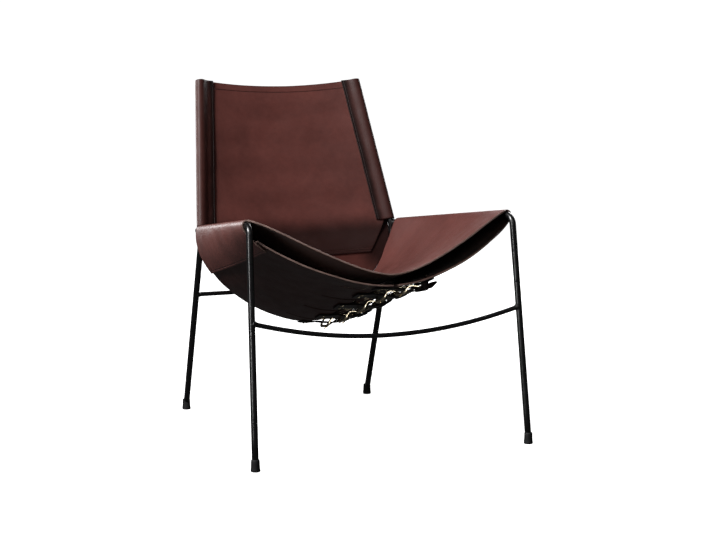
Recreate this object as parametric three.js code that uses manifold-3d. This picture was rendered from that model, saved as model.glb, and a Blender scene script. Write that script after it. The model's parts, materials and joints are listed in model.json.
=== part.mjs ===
// Leather sling lounge chair on a frame of bent steel rod.
// Two side frames carry a saddle leather loop that is drawn tight under the seat by five buckled straps,
// and a leather back whose side sleeves slip over the uprights.
// Millimetres, +Z up, the chair faces -Y, and the origin is the middle of the footprint on the floor.
import * as THREE from 'three';
import { mergeVertices } from 'three/addons/utils/BufferGeometryUtils.js';
import Module from 'manifold-3d';

const wasm = await Module();
wasm.setup();

// Rod frame
const ROD_D = 14;
const FRONT_FOOT_HALF = 312;
const FRONT_TOP_HALF = 299;
const FRONT_TOP_BACK = 60;
const FRONT_TOP_HEIGHT = 487;
const FRONT_BEND_R = 22;
const REAR_FOOT_HALF = 233;
const REAR_FOOT_BACK = 658;
const KNEE_HALF = 237;
const RAIL_END_HALF = 243;
const KNEE_BACK = 523;
const KNEE_HEIGHT = 424;
const KNEE_BEND_R = 45;
const BACK_TOP_HALF = 196;
const BACK_TOP_BACK = 642;
const BACK_TOP_HEIGHT = 762;
const RAIL_ABOVE_KNEE = 8;
const WELD_GAP = 0.3;

// Stretchers
const STRETCHER_D = 10;
const FRONT_STRETCHER_HEIGHT = 292;
const FRONT_STRETCHER_SAG = 42;
const REAR_STRETCHER_HEIGHT = 282;

// Foot caps
const FOOT_D = 19.8;
const FOOT_TOP_D = 17.6;
const FOOT_HEIGHT = 25;
const FOOT_FLARE_HEIGHT = 5;
const FOOT_SOLE = 6;
const FOOT_EDGE = 0.8;
const FOOT_GAP = 0.3;

// Leather
const LEATHER = 4;
const LAY_GAP = 0.3;
const WRAP_GAP = 0.5;
const CUTTER_REACH = 60;
const SLOPE_STEP = 1;

// Seat loop: lines are measured back from the front feet
const SEAT_FRONT_LINE = 78;
const SEAT_FRONT_BULGE = 62;
const SEAT_REAR_LINE = 506;
const SEAT_REAR_BULGE = 30;
const BELLY_REAR_BULGE = 20;
const FRONT_BULGE_POWER = 2;
const REAR_BULGE_POWER = 4;
const SEAT_MID_FRONT = 361;
const SEAT_MID_REAR = 249;
const SEAT_LEAVE_FRONT_DEG = 12;
const SEAT_LEAVE_REAR_DEG = 68;
const SEAT_SHOULDER_FRONT = 52;
const SEAT_SHOULDER_REAR = 40;
const SEAT_FLAT_FRONT = 100;
const SEAT_FLAT_REAR = 208;
const FLAP_FRONT = 76;
const FLAP_REAR = 106;

// Belly under the seat
const BELLY_MID_FRONT = 352;
const BELLY_MID_REAR = 217;
const BELLY_LEVEL_BACK = 485;
const BELLY_EASE_SHARE = 0.6;
const BELLY_SWELL_REAR = 16;
const BELLY_SIDE_FRONT = 38;
const BELLY_SIDE_REAR = 98;
const BELLY_FLAT_FRONT = 128;
const BELLY_FLAT_REAR = 92;
const BELLY_TUCK = 32;
const LEFT_BELLY_END = 0;
const RIGHT_BELLY_START = 12;

// Fingers of the left belly panel, and the straps sewn to them
const STRAP_COUNT = 5;
const FIRST_STRAP_BACK = 52;
const STRAP_PITCH = 100;
const FINGER_GAP = 8;
const SLIT_ROOT_W = 5;
const FINGER_ROOT = -80;
const STRAP_W = 38;
const STRAP_T = 3.2;
const STRAP_LAP = 26;
const STRAP_TAIL = 112;
const TAIL_HANG = 4;

// Buckles
const BUCKLE_MID = 46;
const BUCKLE_HALF_L = 20;
const BUCKLE_HALF_W = 24;
const BUCKLE_CORNER_R = 7;
const FRONT_BAR_R = 3.1;
const HEEL_BAR_R = 2.2;
const BUCKLE_HANG = 4.5;
const FRONT_BAR_DROP = 6;
const BUCKLE_WAVE = 2.6;
const PRONG_R = 1.7;
const PRONG_TIP_R = 1.2;
const PRONG_EYE_R = 4.4;
const PRONG_EYE_W = 5;
const PRONG_GAP = 0.3;
const PRONG_HOLE_W = 5;
const PRONG_HOLE_START = -6;
const PRONG_HOLE_END = 17;

// Chapes: the folded leather that holds each buckle's heel bar
const CHAPE_T = 2.4;
const CHAPE_W = 30;
const CHAPE_END = 58;
const CHAPE_SLOT_W = 6.4;
const CHAPE_SLOT_L = 8;

// Keepers
const KEEPER_T = 2;
const KEEPER_L = 11;
const KEEPER_MID = 30;
const KEEPER_GAP = 0.5;

// Rivets
const RIVET_HEAD_R = 4;
const RIVET_HEAD_H = 1.2;
const RIVET_SHANK_R = 1.8;
const RIVET_GAP = 0.4;
const RIVET_SPREAD = 10;
const STRAP_RIVET_AT = -60;
const CHAPE_RIVET_AT = 48;

// Back
const BACK_T = 3.6;
const BACK_BOW = 27;
const BACK_SLEEVE_W = 45;
const BACK_TOP_RISE = 5;
const BACK_SLEEVE_FOOT = 441;
const BACK_SEAM_HEIGHT = 371;
const BACK_SEAM_HALF = 178;
const BACK_EDGE_CLEAR = 13;
const APRON_ROD_GAP = 1.5;

// Shares that set the form of rounded ends and domes
const TAIL_TIP_SHARE = 0.22;
const DOME_RING_SHARES = [[0, 1], [0.7, 0.7], [1, 0]];
const BUCKLE_THICK_SHARE = 0.4;
const FLAP_CROWDING_POWER = 1.6;

// Facet counts
const ROD_SIDES = 16;
const BEND_STEPS = 8;
const STRETCHER_SIDES = 12;
const STRETCHER_STEPS = 14;
const FOOT_SIDES = 16;
const BUCKLE_STEPS = 24;
const BUCKLE_SIDES = 6;
const RIVET_SIDES = 8;
const PRONG_SIDES = 8;
const SEAT_STATIONS = 9;
const BELLY_STATIONS = 13;
const FLAP_STEPS = 7;
const WRAP_STEPS = 7;
const SEAT_STEPS = 9;
const LEFT_BELLY_STEPS = 13;
const RIGHT_BELLY_STEPS = 14;
const STRAP_STEPS = 14;
const TIP_STEPS = 3;
const FOLD_STEPS = 6;
const RISE_STEPS = 3;
const SLOT_STEPS = 4;
const EYE_STEPS = 7;
const LOOP_STEPS = 2;
const TAPER_STEPS = 3;
const UPRIGHT_STEPS = 3;
const PANEL_COLUMNS = 16;
const SLEEVE_STEPS = 2;
const SLEEVE_LEG_STEPS = 6;
const SLEEVE_ARC_STEPS = 10;
const APRON_ROWS = 4;
const APRON_COLUMNS = 20;
const HALVING_STEPS = 40;
const SETTLING_STEPS = 6;

const COLOURS = {
  steel: { color: 0x0b0b0c, roughness: 0.38, metalness: 0.4 },
  rubber: { color: 0x101010, roughness: 0.7, metalness: 0 },
  leather: { color: 0x4d2b27, roughness: 0.48, metalness: 0 },
  brass: { color: 0xc9a65a, roughness: 0.25, metalness: 1 },
};

const chair = new THREE.Group();

function addPart(name, geometry, look, parent = chair) {
  const mesh = new THREE.Mesh(geometry, new THREE.MeshStandardMaterial(COLOURS[look]));
  mesh.name = name;
  parent.add(mesh);
  return mesh;
}

const THREE_QUARTERS = (3 * Math.PI) / 2;
const vec = (x, y, z) => new THREE.Vector3(x, y, z);
const mix = THREE.MathUtils.lerp;
const ease = (value, low, high) => THREE.MathUtils.smoothstep(value, low, high);
const spread = (from, to, steps) => Array.from({ length: steps + 1 },
  (unused, i) => mix(from, to, i / steps));

// Solids for joining and cutting

function toSolid(geometry) {
  const bare = geometry.clone();
  bare.deleteAttribute('normal');
  bare.deleteAttribute('uv');
  const merged = mergeVertices(bare);
  return new wasm.Manifold(new wasm.Mesh({
    numProp: 3,
    vertProperties: new Float32Array(merged.attributes.position.array),
    triVerts: new Uint32Array(merged.index.array),
  }));
}

function toGeometry(solid) {
  const mesh = solid.getMesh();
  const geometry = new THREE.BufferGeometry();
  geometry.setAttribute('position', new THREE.BufferAttribute(new Float32Array(mesh.vertProperties), 3));
  geometry.setIndex(new THREE.BufferAttribute(new Uint32Array(mesh.triVerts), 1));
  geometry.computeVertexNormals();
  return geometry;
}

const cut = (geometry, tools) => toGeometry(tools.reduce((solid, tool) => solid.subtract(toSolid(tool)),
  toSolid(geometry)));
const join = (geometries) => toGeometry(geometries.slice(1).reduce(
  (solid, other) => solid.add(toSolid(other)),
  toSolid(geometries[0]),
));

// A closed body from points and triangles, turned so that its faces point out
function closedBody(points, triangles) {
  let volume = 0;
  for (const [a, b, c] of triangles) {
    volume += points[a].dot(vec(0, 0, 0).crossVectors(points[b], points[c]));
  }
  const ordered = volume > 0 ? triangles : triangles.map(([a, b, c]) => [a, c, b]);
  const geometry = new THREE.BufferGeometry();
  geometry.setAttribute('position', new THREE.Float32BufferAttribute(points.flatMap((p) => p.toArray()), 3));
  geometry.setIndex(ordered.flat());
  geometry.computeVertexNormals();
  return geometry;
}

// A thin closed solid between two grids of points that have the same rows and columns
function sheetBetween(top, under) {
  const rows = top.length;
  const columns = top[0].length;
  const points = [...top.flat(), ...under.flat()];
  const at = (side, row, column) => side * rows * columns + row * columns + column;
  const triangles = [];
  const quad = (a, b, c, d) => triangles.push([a, b, c], [a, c, d]);
  for (let row = 0; row < rows - 1; row += 1) {
    for (let column = 0; column < columns - 1; column += 1) {
      quad(at(0, row, column), at(0, row + 1, column), at(0, row + 1, column + 1), at(0, row, column + 1));
      quad(at(1, row, column), at(1, row, column + 1), at(1, row + 1, column + 1), at(1, row + 1, column));
    }
  }
  for (let row = 0; row < rows - 1; row += 1) {
    quad(at(0, row, 0), at(1, row, 0), at(1, row + 1, 0), at(0, row + 1, 0));
    const end = columns - 1;
    quad(at(0, row, end), at(0, row + 1, end), at(1, row + 1, end), at(1, row, end));
  }
  for (let column = 0; column < columns - 1; column += 1) {
    quad(at(0, 0, column), at(0, 0, column + 1), at(1, 0, column + 1), at(1, 0, column));
    const end = rows - 1;
    quad(at(0, end, column), at(1, end, column), at(1, end, column + 1), at(0, end, column + 1));
  }
  return closedBody(points, triangles);
}

// The middle surface of a leather as a grid, made a sheet by moving each point half its thickness both ways
function leatherSheet(middle, thickness) {
  const last = (list) => list.length - 1;
  const normals = middle.map((row, i) => row.map((point, j) => {
    const along = middle[Math.min(i + 1, last(middle))][j].clone().sub(middle[Math.max(i - 1, 0)][j]);
    const across = row[Math.min(j + 1, last(row))].clone().sub(row[Math.max(j - 1, 0)]);
    return along.cross(across).normalize();
  }));
  const pushed = (amount) => (point, normal) => point.clone().addScaledVector(normal, amount);
  const moved = (amount) => middle.map((row, i) => row.map(
    (point, j) => pushed(amount)(point, normals[i][j]),
  ));
  return sheetBetween(moved(thickness / 2), moved(-thickness / 2));
}

// Rods

// A path that steps from station to station, so that straight runs need no extra rings
class StationPath extends THREE.Curve {
  constructor(stations) {
    super();
    this.stations = stations;
  }

  getPoint(t) {
    const place = THREE.MathUtils.clamp(t, 0, 1) * (this.stations.length - 1);
    const index = Math.min(Math.floor(place), this.stations.length - 2);
    return this.stations[index].clone().lerp(this.stations[index + 1], place - index);
  }

  getUtoTmapping(u) {
    return u;
  }
}

function tube(stations, radius, sides) {
  const section = new THREE.Shape(Array.from({ length: sides }, (unused, i) => {
    const angle = (2 * Math.PI * (i + 0.5)) / sides;
    return new THREE.Vector2(radius * Math.cos(angle), radius * Math.sin(angle));
  }));
  const path = new StationPath(stations);
  const steps = stations.length - 1;
  return new THREE.ExtrudeGeometry(section, { steps, extrudePath: path, curveSegments: 1 });
}

// Stations of a rod with one bend of a given radius at its corner
function bentStations(start, corner, end, bendRadius) {
  const travel = corner.clone().sub(start).normalize();
  const leaving = end.clone().sub(corner).normalize();
  const turn = travel.angleTo(leaving);
  const reach = bendRadius * Math.tan(turn / 2);
  const arcStart = corner.clone().addScaledVector(travel, -reach);
  const inward = leaving.clone().addScaledVector(travel, -leaving.dot(travel)).normalize();
  const arc = Array.from({ length: BEND_STEPS + 1 }, (unused, i) => {
    const angle = (turn * i) / BEND_STEPS;
    return arcStart.clone()
      .addScaledVector(travel, bendRadius * Math.sin(angle))
      .addScaledVector(inward, bendRadius * (1 - Math.cos(angle)));
  });
  return [start, ...arc, end];
}

const alongLine = (from, to, share) => from.clone().lerp(to, share);
const atHeight = (from, to, height) => alongLine(from, to, (height - from.z) / (to.z - from.z));

// Corner points of one side frame: side is -1 for the left and 1 for the right
function sidePoints(side) {
  const frontFoot = vec(side * FRONT_FOOT_HALF, 0, 0);
  const frontTop = vec(side * FRONT_TOP_HALF, FRONT_TOP_BACK, FRONT_TOP_HEIGHT);
  const rearFoot = vec(side * REAR_FOOT_HALF, REAR_FOOT_BACK, 0);
  const knee = vec(side * KNEE_HALF, KNEE_BACK, KNEE_HEIGHT);
  const backTop = vec(side * BACK_TOP_HALF, BACK_TOP_BACK, BACK_TOP_HEIGHT);
  const railEnd = atHeight(knee, backTop, KNEE_HEIGHT + RAIL_ABOVE_KNEE).setX(side * RAIL_END_HALF);
  return { frontFoot, frontTop, rearFoot, knee, backTop, railEnd };
}

const RIGHT = sidePoints(1);

function rearRodStations(side) {
  const { rearFoot, knee, backTop } = sidePoints(side);
  return bentStations(atHeight(rearFoot, knee, FOOT_SOLE), knee, backTop, KNEE_BEND_R);
}

function frontRodStations(side) {
  const { frontFoot, frontTop, railEnd } = sidePoints(side);
  return bentStations(atHeight(frontFoot, frontTop, FOOT_SOLE), frontTop, railEnd, FRONT_BEND_R);
}

function frontRod(side) {
  const rearRod = tube(rearRodStations(side), ROD_D / 2 + WELD_GAP, ROD_SIDES);
  const solid = toSolid(tube(frontRodStations(side), ROD_D / 2, ROD_SIDES)).subtract(toSolid(rearRod));
  const pieces = solid.decompose();
  pieces.sort((a, b) => b.volume() - a.volume());
  return toGeometry(pieces[0]);
}

const rearRod = (side) => tube(rearRodStations(side), ROD_D / 2, ROD_SIDES);

// A stretcher from leg to leg, its ends coped round the legs
function stretcher(right, sag, legStations) {
  const steps = sag > 0 ? STRETCHER_STEPS : 1;
  const stations = spread(-1, 1, steps).map((share) => vec(share * right.x, right.y,
    right.z - sag * (1 - share * share)));
  const bar = toSolid(tube(stations, STRETCHER_D / 2, STRETCHER_SIDES));
  const legs = [-1, 1].map((side) => toSolid(tube(legStations(side), ROD_D / 2 + WELD_GAP, ROD_SIDES)));
  const pieces = bar.subtract(legs[0]).subtract(legs[1]).decompose();
  pieces.sort((a, b) => b.volume() - a.volume());
  return toGeometry(pieces[0]);
}

// A flared cap, upright on the floor, with a blind bore that follows the leaning leg
function footCap(foot, corner) {
  const half = FOOT_D / 2;
  const profile = [
    vec(0, 0, 0),
    vec(half - FOOT_EDGE, 0, 0),
    vec(half, FOOT_EDGE, 0),
    vec(half, FOOT_FLARE_HEIGHT, 0),
    vec(FOOT_TOP_D / 2, FOOT_HEIGHT - FOOT_EDGE, 0),
    vec(FOOT_TOP_D / 2 - FOOT_EDGE, FOOT_HEIGHT, 0),
    vec(0, FOOT_HEIGHT, 0),
  ].map((p) => new THREE.Vector2(p.x, p.y));
  const body = new THREE.LatheGeometry(profile, FOOT_SIDES);
  body.rotateX(Math.PI / 2);
  const lean = corner.clone().sub(foot);
  const middle = foot.clone().addScaledVector(lean, FOOT_HEIGHT / 2 / lean.z);
  body.translate(middle.x, middle.y, 0);
  const low = atHeight(foot, corner, FOOT_SOLE - FOOT_GAP);
  const high = atHeight(foot, corner, FOOT_HEIGHT + CUTTER_REACH);
  return cut(body, [tube([low, high], ROD_D / 2 + FOOT_GAP, ROD_SIDES)]);
}

for (const [side, hand] of [[-1, 'left'], [1, 'right']]) {
  const points = sidePoints(side);
  addPart(`${hand}_front_leg_and_rail`, frontRod(side), 'steel');
  addPart(`${hand}_rear_leg_and_upright`, rearRod(side), 'steel');
  addPart(`${hand}_front_foot_cap`, footCap(points.frontFoot, points.frontTop), 'rubber');
  addPart(`${hand}_rear_foot_cap`, footCap(points.rearFoot, points.knee), 'rubber');
}
const frontSeat = atHeight(RIGHT.frontFoot, RIGHT.frontTop, FRONT_STRETCHER_HEIGHT);
const rearSeat = atHeight(RIGHT.rearFoot, RIGHT.knee, REAR_STRETCHER_HEIGHT);
addPart('front_stretcher', stretcher(frontSeat, FRONT_STRETCHER_SAG, frontRodStations), 'steel');
addPart('rear_stretcher', stretcher(rearSeat, 0, rearRodStations), 'steel');

// Sections of the seat loop: everything is worked out for the right side and mirrored

// How far back a line across the seat is, as a share of the way between its front and rear lines
const backShare = (back) => (back - SEAT_FRONT_LINE) / (SEAT_REAR_LINE - SEAT_FRONT_LINE);
const alongSeat = (front, rear, back) => mix(front, rear, backShare(back));
const railAt = (back) => alongLine(RIGHT.frontTop, RIGHT.railEnd,
  (back - RIGHT.frontTop.y) / (RIGHT.railEnd.y - RIGHT.frontTop.y));

// A cubic curve in the plane of one section, as a function of its parameter
function sectionCurve(start, shoulder, flat, middle) {
  return new THREE.CubicBezierCurve(start, shoulder, flat, middle);
}

// The face where the seat flaps lie on the belly, from the rail's outer side to the middle
function bellyCurve(back) {
  const rail = railAt(back);
  const outside = rail.x + ROD_D / 2 + WRAP_GAP - LAY_GAP;
  const share = THREE.MathUtils.clamp(backShare(back), 0, 1);
  const lip = SEAT_FRONT_LINE - SEAT_FRONT_BULGE;
  const fall = THREE.MathUtils.clamp((back - lip) / (BELLY_LEVEL_BACK - lip), 0, 1);
  const low = mix(BELLY_MID_FRONT, BELLY_MID_REAR, mix(fall, ease(fall, 0, 1), BELLY_EASE_SHARE));
  const flat = alongSeat(BELLY_FLAT_FRONT, BELLY_FLAT_REAR, back);
  const side = alongSeat(BELLY_SIDE_FRONT, BELLY_SIDE_REAR, back);
  return sectionCurve(
    new THREE.Vector2(outside, rail.z),
    new THREE.Vector2(outside + share * BELLY_SWELL_REAR, rail.z - side),
    new THREE.Vector2(flat, low),
    new THREE.Vector2(0, low),
  );
}

// The middle of the upper leather, from where it leaves the rail to the middle of the seat
function seatCurve(back) {
  const rail = railAt(back);
  const wrap = ROD_D / 2 + WRAP_GAP + LEATHER / 2;
  const leave = THREE.MathUtils.degToRad(alongSeat(SEAT_LEAVE_FRONT_DEG, SEAT_LEAVE_REAR_DEG, back));
  const shoulder = alongSeat(SEAT_SHOULDER_FRONT, SEAT_SHOULDER_REAR, back);
  const start = new THREE.Vector2(rail.x - wrap * Math.sin(leave), rail.z + wrap * Math.cos(leave));
  const low = alongSeat(SEAT_MID_FRONT, SEAT_MID_REAR, back);
  return {
    rail,
    wrap,
    leave,
    curve: sectionCurve(
      start,
      new THREE.Vector2(start.x - shoulder * Math.cos(leave), start.y - shoulder * Math.sin(leave)),
      new THREE.Vector2(alongSeat(SEAT_FLAT_FRONT, SEAT_FLAT_REAR, back), low),
      new THREE.Vector2(0, low),
    ),
  };
}

// The parameter at which a curve reaches a distance across from the middle
function parameterAcross(curve, across) {
  let low = 0;
  let high = 1;
  for (let step = 0; step < HALVING_STEPS; step += 1) {
    const middle = (low + high) / 2;
    if (curve.getPoint(middle).x > across) low = middle;
    else high = middle;
  }
  return (low + high) / 2;
}

const flapLength = (back) => alongSeat(FLAP_FRONT, FLAP_REAR, back);

// Front and rear edges bulge away from the rails towards the middle
const bulge = (across, halfWidth, power) => 1 - Math.min(1, Math.abs(across / halfWidth) ** power);
function seatBack(share, across, rearBulge) {
  const front = SEAT_FRONT_LINE - SEAT_FRONT_BULGE * bulge(across, FRONT_TOP_HALF, FRONT_BULGE_POWER);
  const rear = SEAT_REAR_LINE + rearBulge * bulge(across, KNEE_HALF, REAR_BULGE_POWER);
  return mix(front, rear, share);
}

const seatShares = spread(0, 1, SEAT_STATIONS - 1);
const bellyShares = spread(0, 1, BELLY_STATIONS - 1);

// One row of the seat sling's middle surface, from the right flap's edge to the middle
function seatHalfRow(share) {
  const row = [];
  const flapBack = seatBack(share, RIGHT.frontTop.x, 0);
  const flap = bellyCurve(flapBack);
  const flapShare = flapLength(flapBack) / flap.getLength();
  for (let i = 0; i < FLAP_STEPS; i += 1) {
    const u = flapShare * (1 - i / FLAP_STEPS) ** FLAP_CROWDING_POWER;
    const point = flap.getPointAt(u);
    const tangent = flap.getTangentAt(u);
    const off = LAY_GAP + LEATHER / 2;
    row.push(vec(point.x - tangent.y * off, flapBack, point.y + tangent.x * off));
  }
  const { rail, wrap, leave, curve } = seatCurve(flapBack);
  for (let i = 0; i < WRAP_STEPS; i += 1) {
    const angle = ((Math.PI / 2 + leave) * i) / WRAP_STEPS;
    row.push(vec(rail.x + wrap * Math.cos(angle), flapBack, rail.z + wrap * Math.sin(angle)));
  }
  for (let i = 0; i <= SEAT_STEPS; i += 1) {
    const across = curve.getPoint(i / SEAT_STEPS).x;
    const back = seatBack(share, across, SEAT_REAR_BULGE);
    const point = seatCurve(back).curve.getPoint(i / SEAT_STEPS);
    row.push(vec(point.x, back, point.y));
  }
  return row;
}

const mirrored = (row) => row.map((p) => vec(-p.x, p.y, p.z));

function seatSling() {
  const middle = seatShares.map((share) => {
    const right = seatHalfRow(share);
    return [...right, ...mirrored(right).reverse().slice(1)];
  });
  return leatherSheet(middle, LEATHER);
}

addPart('seat_sling', seatSling(), 'leather');

// The outer face of the belly as a height over the floor
function bellyHeight(across, back) {
  const curve = bellyCurve(back);
  return curve.getPoint(parameterAcross(curve, Math.abs(across))).y + LAY_GAP;
}

// One row of a belly panel, from under the flap to a distance across from the middle
function bellyRow(share, endAcross, steps) {
  const rough = bellyCurve(seatBack(share, endAcross, BELLY_REAR_BULGE));
  const endParameter = parameterAcross(rough, endAcross);
  const flapBack = seatBack(share, RIGHT.frontTop.x, 0);
  const edge = bellyCurve(flapBack);
  const startParameter = edge.getUtoTmapping((flapLength(flapBack) - BELLY_TUCK) / edge.getLength());
  const row = [];
  for (let i = 0; i <= steps; i += 1) {
    const parameter = mix(startParameter, endParameter, i / steps);
    const back = seatBack(share, rough.getPoint(parameter).x, BELLY_REAR_BULGE);
    const curve = bellyCurve(back);
    const point = curve.getPoint(parameter);
    const tangent = curve.getTangent(parameter);
    const off = LAY_GAP + LEATHER / 2;
    row.push(vec(point.x + tangent.y * off, back, point.y - tangent.x * off));
  }
  return row;
}

// Straps, buckles and what goes with them

// The turned frame of one buckle on the belly: x along the strap, y across it, z into the seat
function buckleFrame(back) {
  const on = (x, y) => vec(x, y, bellyHeight(x, y));
  const origin = on(BUCKLE_MID, back);
  const along = on(BUCKLE_MID + SLOPE_STEP, back).sub(on(BUCKLE_MID - SLOPE_STEP, back)).normalize();
  const across = on(BUCKLE_MID, back + SLOPE_STEP).sub(on(BUCKLE_MID, back - SLOPE_STEP));
  const up = along.clone().cross(across).normalize();
  const width = up.clone().cross(along);
  const matrix = new THREE.Matrix4().makeBasis(along, width, up).setPosition(origin);
  return { matrix, back };
}

// How high the belly's outer face stands over the frame's flat at a point along and across the strap
function faceOver({ matrix }, along, across) {
  let height = 0;
  for (let step = 0; step < SETTLING_STEPS; step += 1) {
    const point = vec(along, across, height).applyMatrix4(matrix);
    height -= point.z - bellyHeight(point.x, point.y);
  }
  return height;
}

// Depths below the belly's face of what lies at the heel bar, from the belly outwards
const HEEL_BAR_DEPTH = BUCKLE_HANG + 2 * LAY_GAP + CHAPE_T + HEEL_BAR_R;
const FRONT_BAR_DEPTH = HEEL_BAR_DEPTH + FRONT_BAR_DROP;
const CHAPE_FOLD_R = HEEL_BAR_R + LAY_GAP + CHAPE_T / 2;
const STRAP_HEEL_DEPTH = HEEL_BAR_DEPTH + CHAPE_FOLD_R + CHAPE_T / 2 + 2 * LAY_GAP;
const STRAP_TAIL_DEPTH = TAIL_HANG + 2 * CHAPE_T + 4 * LAY_GAP + RIVET_HEAD_H;
const BELLY_RELIEF = 3 * LAY_GAP;
const CHAPE_LEG_DEPTH = HEEL_BAR_DEPTH - CHAPE_FOLD_R;
const RISE_START = KEEPER_MID + KEEPER_L / 2;
const RISE_END = CHAPE_RIVET_AT - RIVET_HEAD_R;

// Height of the strap's inner face in its buckle's frame: under the finger, out over the heel bar, and back
function strapHeight(frame, along, across) {
  const heel = BUCKLE_HALF_L;
  const face = faceOver(frame, along, across);
  const down = ease(along, FRONT_BAR_R - heel, heel - CHAPE_FOLD_R - CHAPE_T / 2);
  const back = ease(along, RISE_END, CHAPE_END);
  const under = face - BELLY_RELIEF;
  return mix(mix(under, -STRAP_HEEL_DEPTH - LAY_GAP, down), under - STRAP_TAIL_DEPTH, back);
}

// A band of leather between a height given by a function of the place on it and its own thickness below
function band(places, halfWidth, heightAt, thickness) {
  const shares = [-1, 0, 1];
  const face = (extra) => places.map((along) => shares.map((share) => {
    const across = share * halfWidth(along);
    return vec(along, across, heightAt(along, across) - extra);
  }));
  return sheetBetween(face(0), face(thickness));
}

function strap(frame) {
  const start = LEFT_BELLY_END - STRAP_LAP - BUCKLE_MID;
  const end = STRAP_TAIL - BUCKLE_MID;
  const half = STRAP_W / 2;
  const roundStart = end - half / 2;
  const rounded = (share) => Math.max(TAIL_TIP_SHARE, Math.sqrt(1 - share ** 2));
  const halfWidth = (along) => half * rounded(Math.max(0, (along - roundStart) / (end - roundStart)));
  const straight = spread(start, roundStart, STRAP_STEPS);
  const places = [...straight, ...spread(roundStart, end, TIP_STEPS).slice(1)];
  const body = band(places, halfWidth, (along, across) => strapHeight(frame, along, across), STRAP_T);
  const hole = prism(PRONG_HOLE_START, PRONG_HOLE_END, PRONG_HOLE_W, -CUTTER_REACH, CUTTER_REACH);
  return cut(body, [hole, ...strapRivetHoles(frame)]);
}

// An upright slot with round ends, from one place along the strap to another
function prism(from, to, width, low, high) {
  const radius = width / 2;
  const shape = new THREE.Shape();
  shape.absarc(to - radius, 0, radius, -Math.PI / 2, Math.PI / 2, false);
  shape.absarc(from + radius, 0, radius, Math.PI / 2, THREE_QUARTERS, false);
  const depth = high - low;
  const geometry = new THREE.ExtrudeGeometry(shape, { depth, bevelEnabled: false, curveSegments: SLOT_STEPS });
  geometry.translate(0, 0, low);
  return geometry;
}

// The place of a rivet on the belly's face, turned so that its own z stands square to the leather
function rivetSeat(frame, along, across) {
  const point = (x, y) => vec(x, y, faceOver(frame, x, y));
  const side = RIVET_SHANK_R;
  const lengthwise = point(along + side, across).sub(point(along - side, across)).normalize();
  const crosswise = point(along, across + side).sub(point(along, across - side));
  const up = lengthwise.clone().cross(crosswise).normalize();
  return new THREE.Matrix4().makeBasis(lengthwise, up.clone().cross(lengthwise), up)
    .setPosition(point(along, across));
}

// Holes for rivets at one place along the strap and some places across it
function rivetHoles(frame, along, acrosses) {
  return acrosses.map((across) => {
    const radius = RIVET_SHANK_R + RIVET_GAP;
    const hole = new THREE.CylinderGeometry(radius, radius, CUTTER_REACH, RIVET_SIDES);
    hole.rotateX(Math.PI / 2);
    return hole.applyMatrix4(rivetSeat(frame, along, across));
  });
}

const strapRivetHoles = (frame) => rivetHoles(frame, STRAP_RIVET_AT, [-RIVET_SPREAD, RIVET_SPREAD]);
const chapeRivetHoles = (frame) => rivetHoles(frame, CHAPE_RIVET_AT, [0]);

// A rivet with a low domed head at each end of its shank, its inner head resting inside the belly
function rivet(grip) {
  const high = LEATHER + 3 * LAY_GAP;
  const ring = (height, sign, radius, rise) => new THREE.Vector2(RIVET_HEAD_R * radius,
    height + sign * RIVET_HEAD_H * rise);
  const dome = (height, sign) => DOME_RING_SHARES.map(([radius, rise]) => ring(height, sign, radius, rise));
  const neck = (height) => new THREE.Vector2(RIVET_SHANK_R, height);
  const profile = [...dome(high - grip, -1), neck(high - grip), neck(high), ...dome(high, 1).reverse()];
  const geometry = new THREE.LatheGeometry(profile, RIVET_SIDES);
  geometry.rotateX(Math.PI / 2);
  return geometry;
}

function buckle() {
  const inner = { l: BUCKLE_HALF_L - BUCKLE_CORNER_R, w: BUCKLE_HALF_W - BUCKLE_CORNER_R };
  const outline = new THREE.Path();
  outline.absarc(inner.l, inner.w, BUCKLE_CORNER_R, 0, Math.PI / 2, false);
  outline.absarc(-inner.l, inner.w, BUCKLE_CORNER_R, Math.PI / 2, Math.PI, false);
  outline.absarc(-inner.l, -inner.w, BUCKLE_CORNER_R, Math.PI, THREE_QUARTERS, false);
  outline.absarc(inner.l, -inner.w, BUCKLE_CORNER_R, THREE_QUARTERS, 2 * Math.PI, false);
  outline.closePath();
  const flat = outline.getSpacedPoints(BUCKLE_STEPS).slice(0, BUCKLE_STEPS);
  const line = flat.map((p) => {
    const share = (p.x + BUCKLE_HALF_L) / (2 * BUCKLE_HALF_L);
    const depth = mix(FRONT_BAR_DEPTH, HEEL_BAR_DEPTH, share) - BUCKLE_WAVE * Math.sin(2 * Math.PI * share);
    const radius = mix(FRONT_BAR_R, HEEL_BAR_R, ease(share, 0, BUCKLE_THICK_SHARE));
    return { point: vec(p.x, p.y, -depth), radius };
  });
  const points = [];
  const triangles = [];
  line.forEach(({ point, radius }, i) => {
    const before = line[(i + BUCKLE_STEPS - 1) % BUCKLE_STEPS].point;
    const after = line[(i + 1) % BUCKLE_STEPS].point;
    const travel = after.clone().sub(before).normalize();
    const side = travel.clone().cross(vec(0, 0, 1)).normalize();
    const up = side.clone().cross(travel);
    for (let j = 0; j < BUCKLE_SIDES; j += 1) {
      const angle = (2 * Math.PI * (j + 0.5)) / BUCKLE_SIDES;
      points.push(point.clone()
        .addScaledVector(side, radius * Math.cos(angle))
        .addScaledVector(up, radius * Math.sin(angle)));
      const at = (ring, spoke) => ((i + ring) % BUCKLE_STEPS) * BUCKLE_SIDES + ((j + spoke) % BUCKLE_SIDES);
      triangles.push([at(0, 0), at(1, 0), at(1, 1)], [at(0, 0), at(1, 1), at(0, 1)]);
    }
  });
  return closedBody(points, triangles);
}

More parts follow.
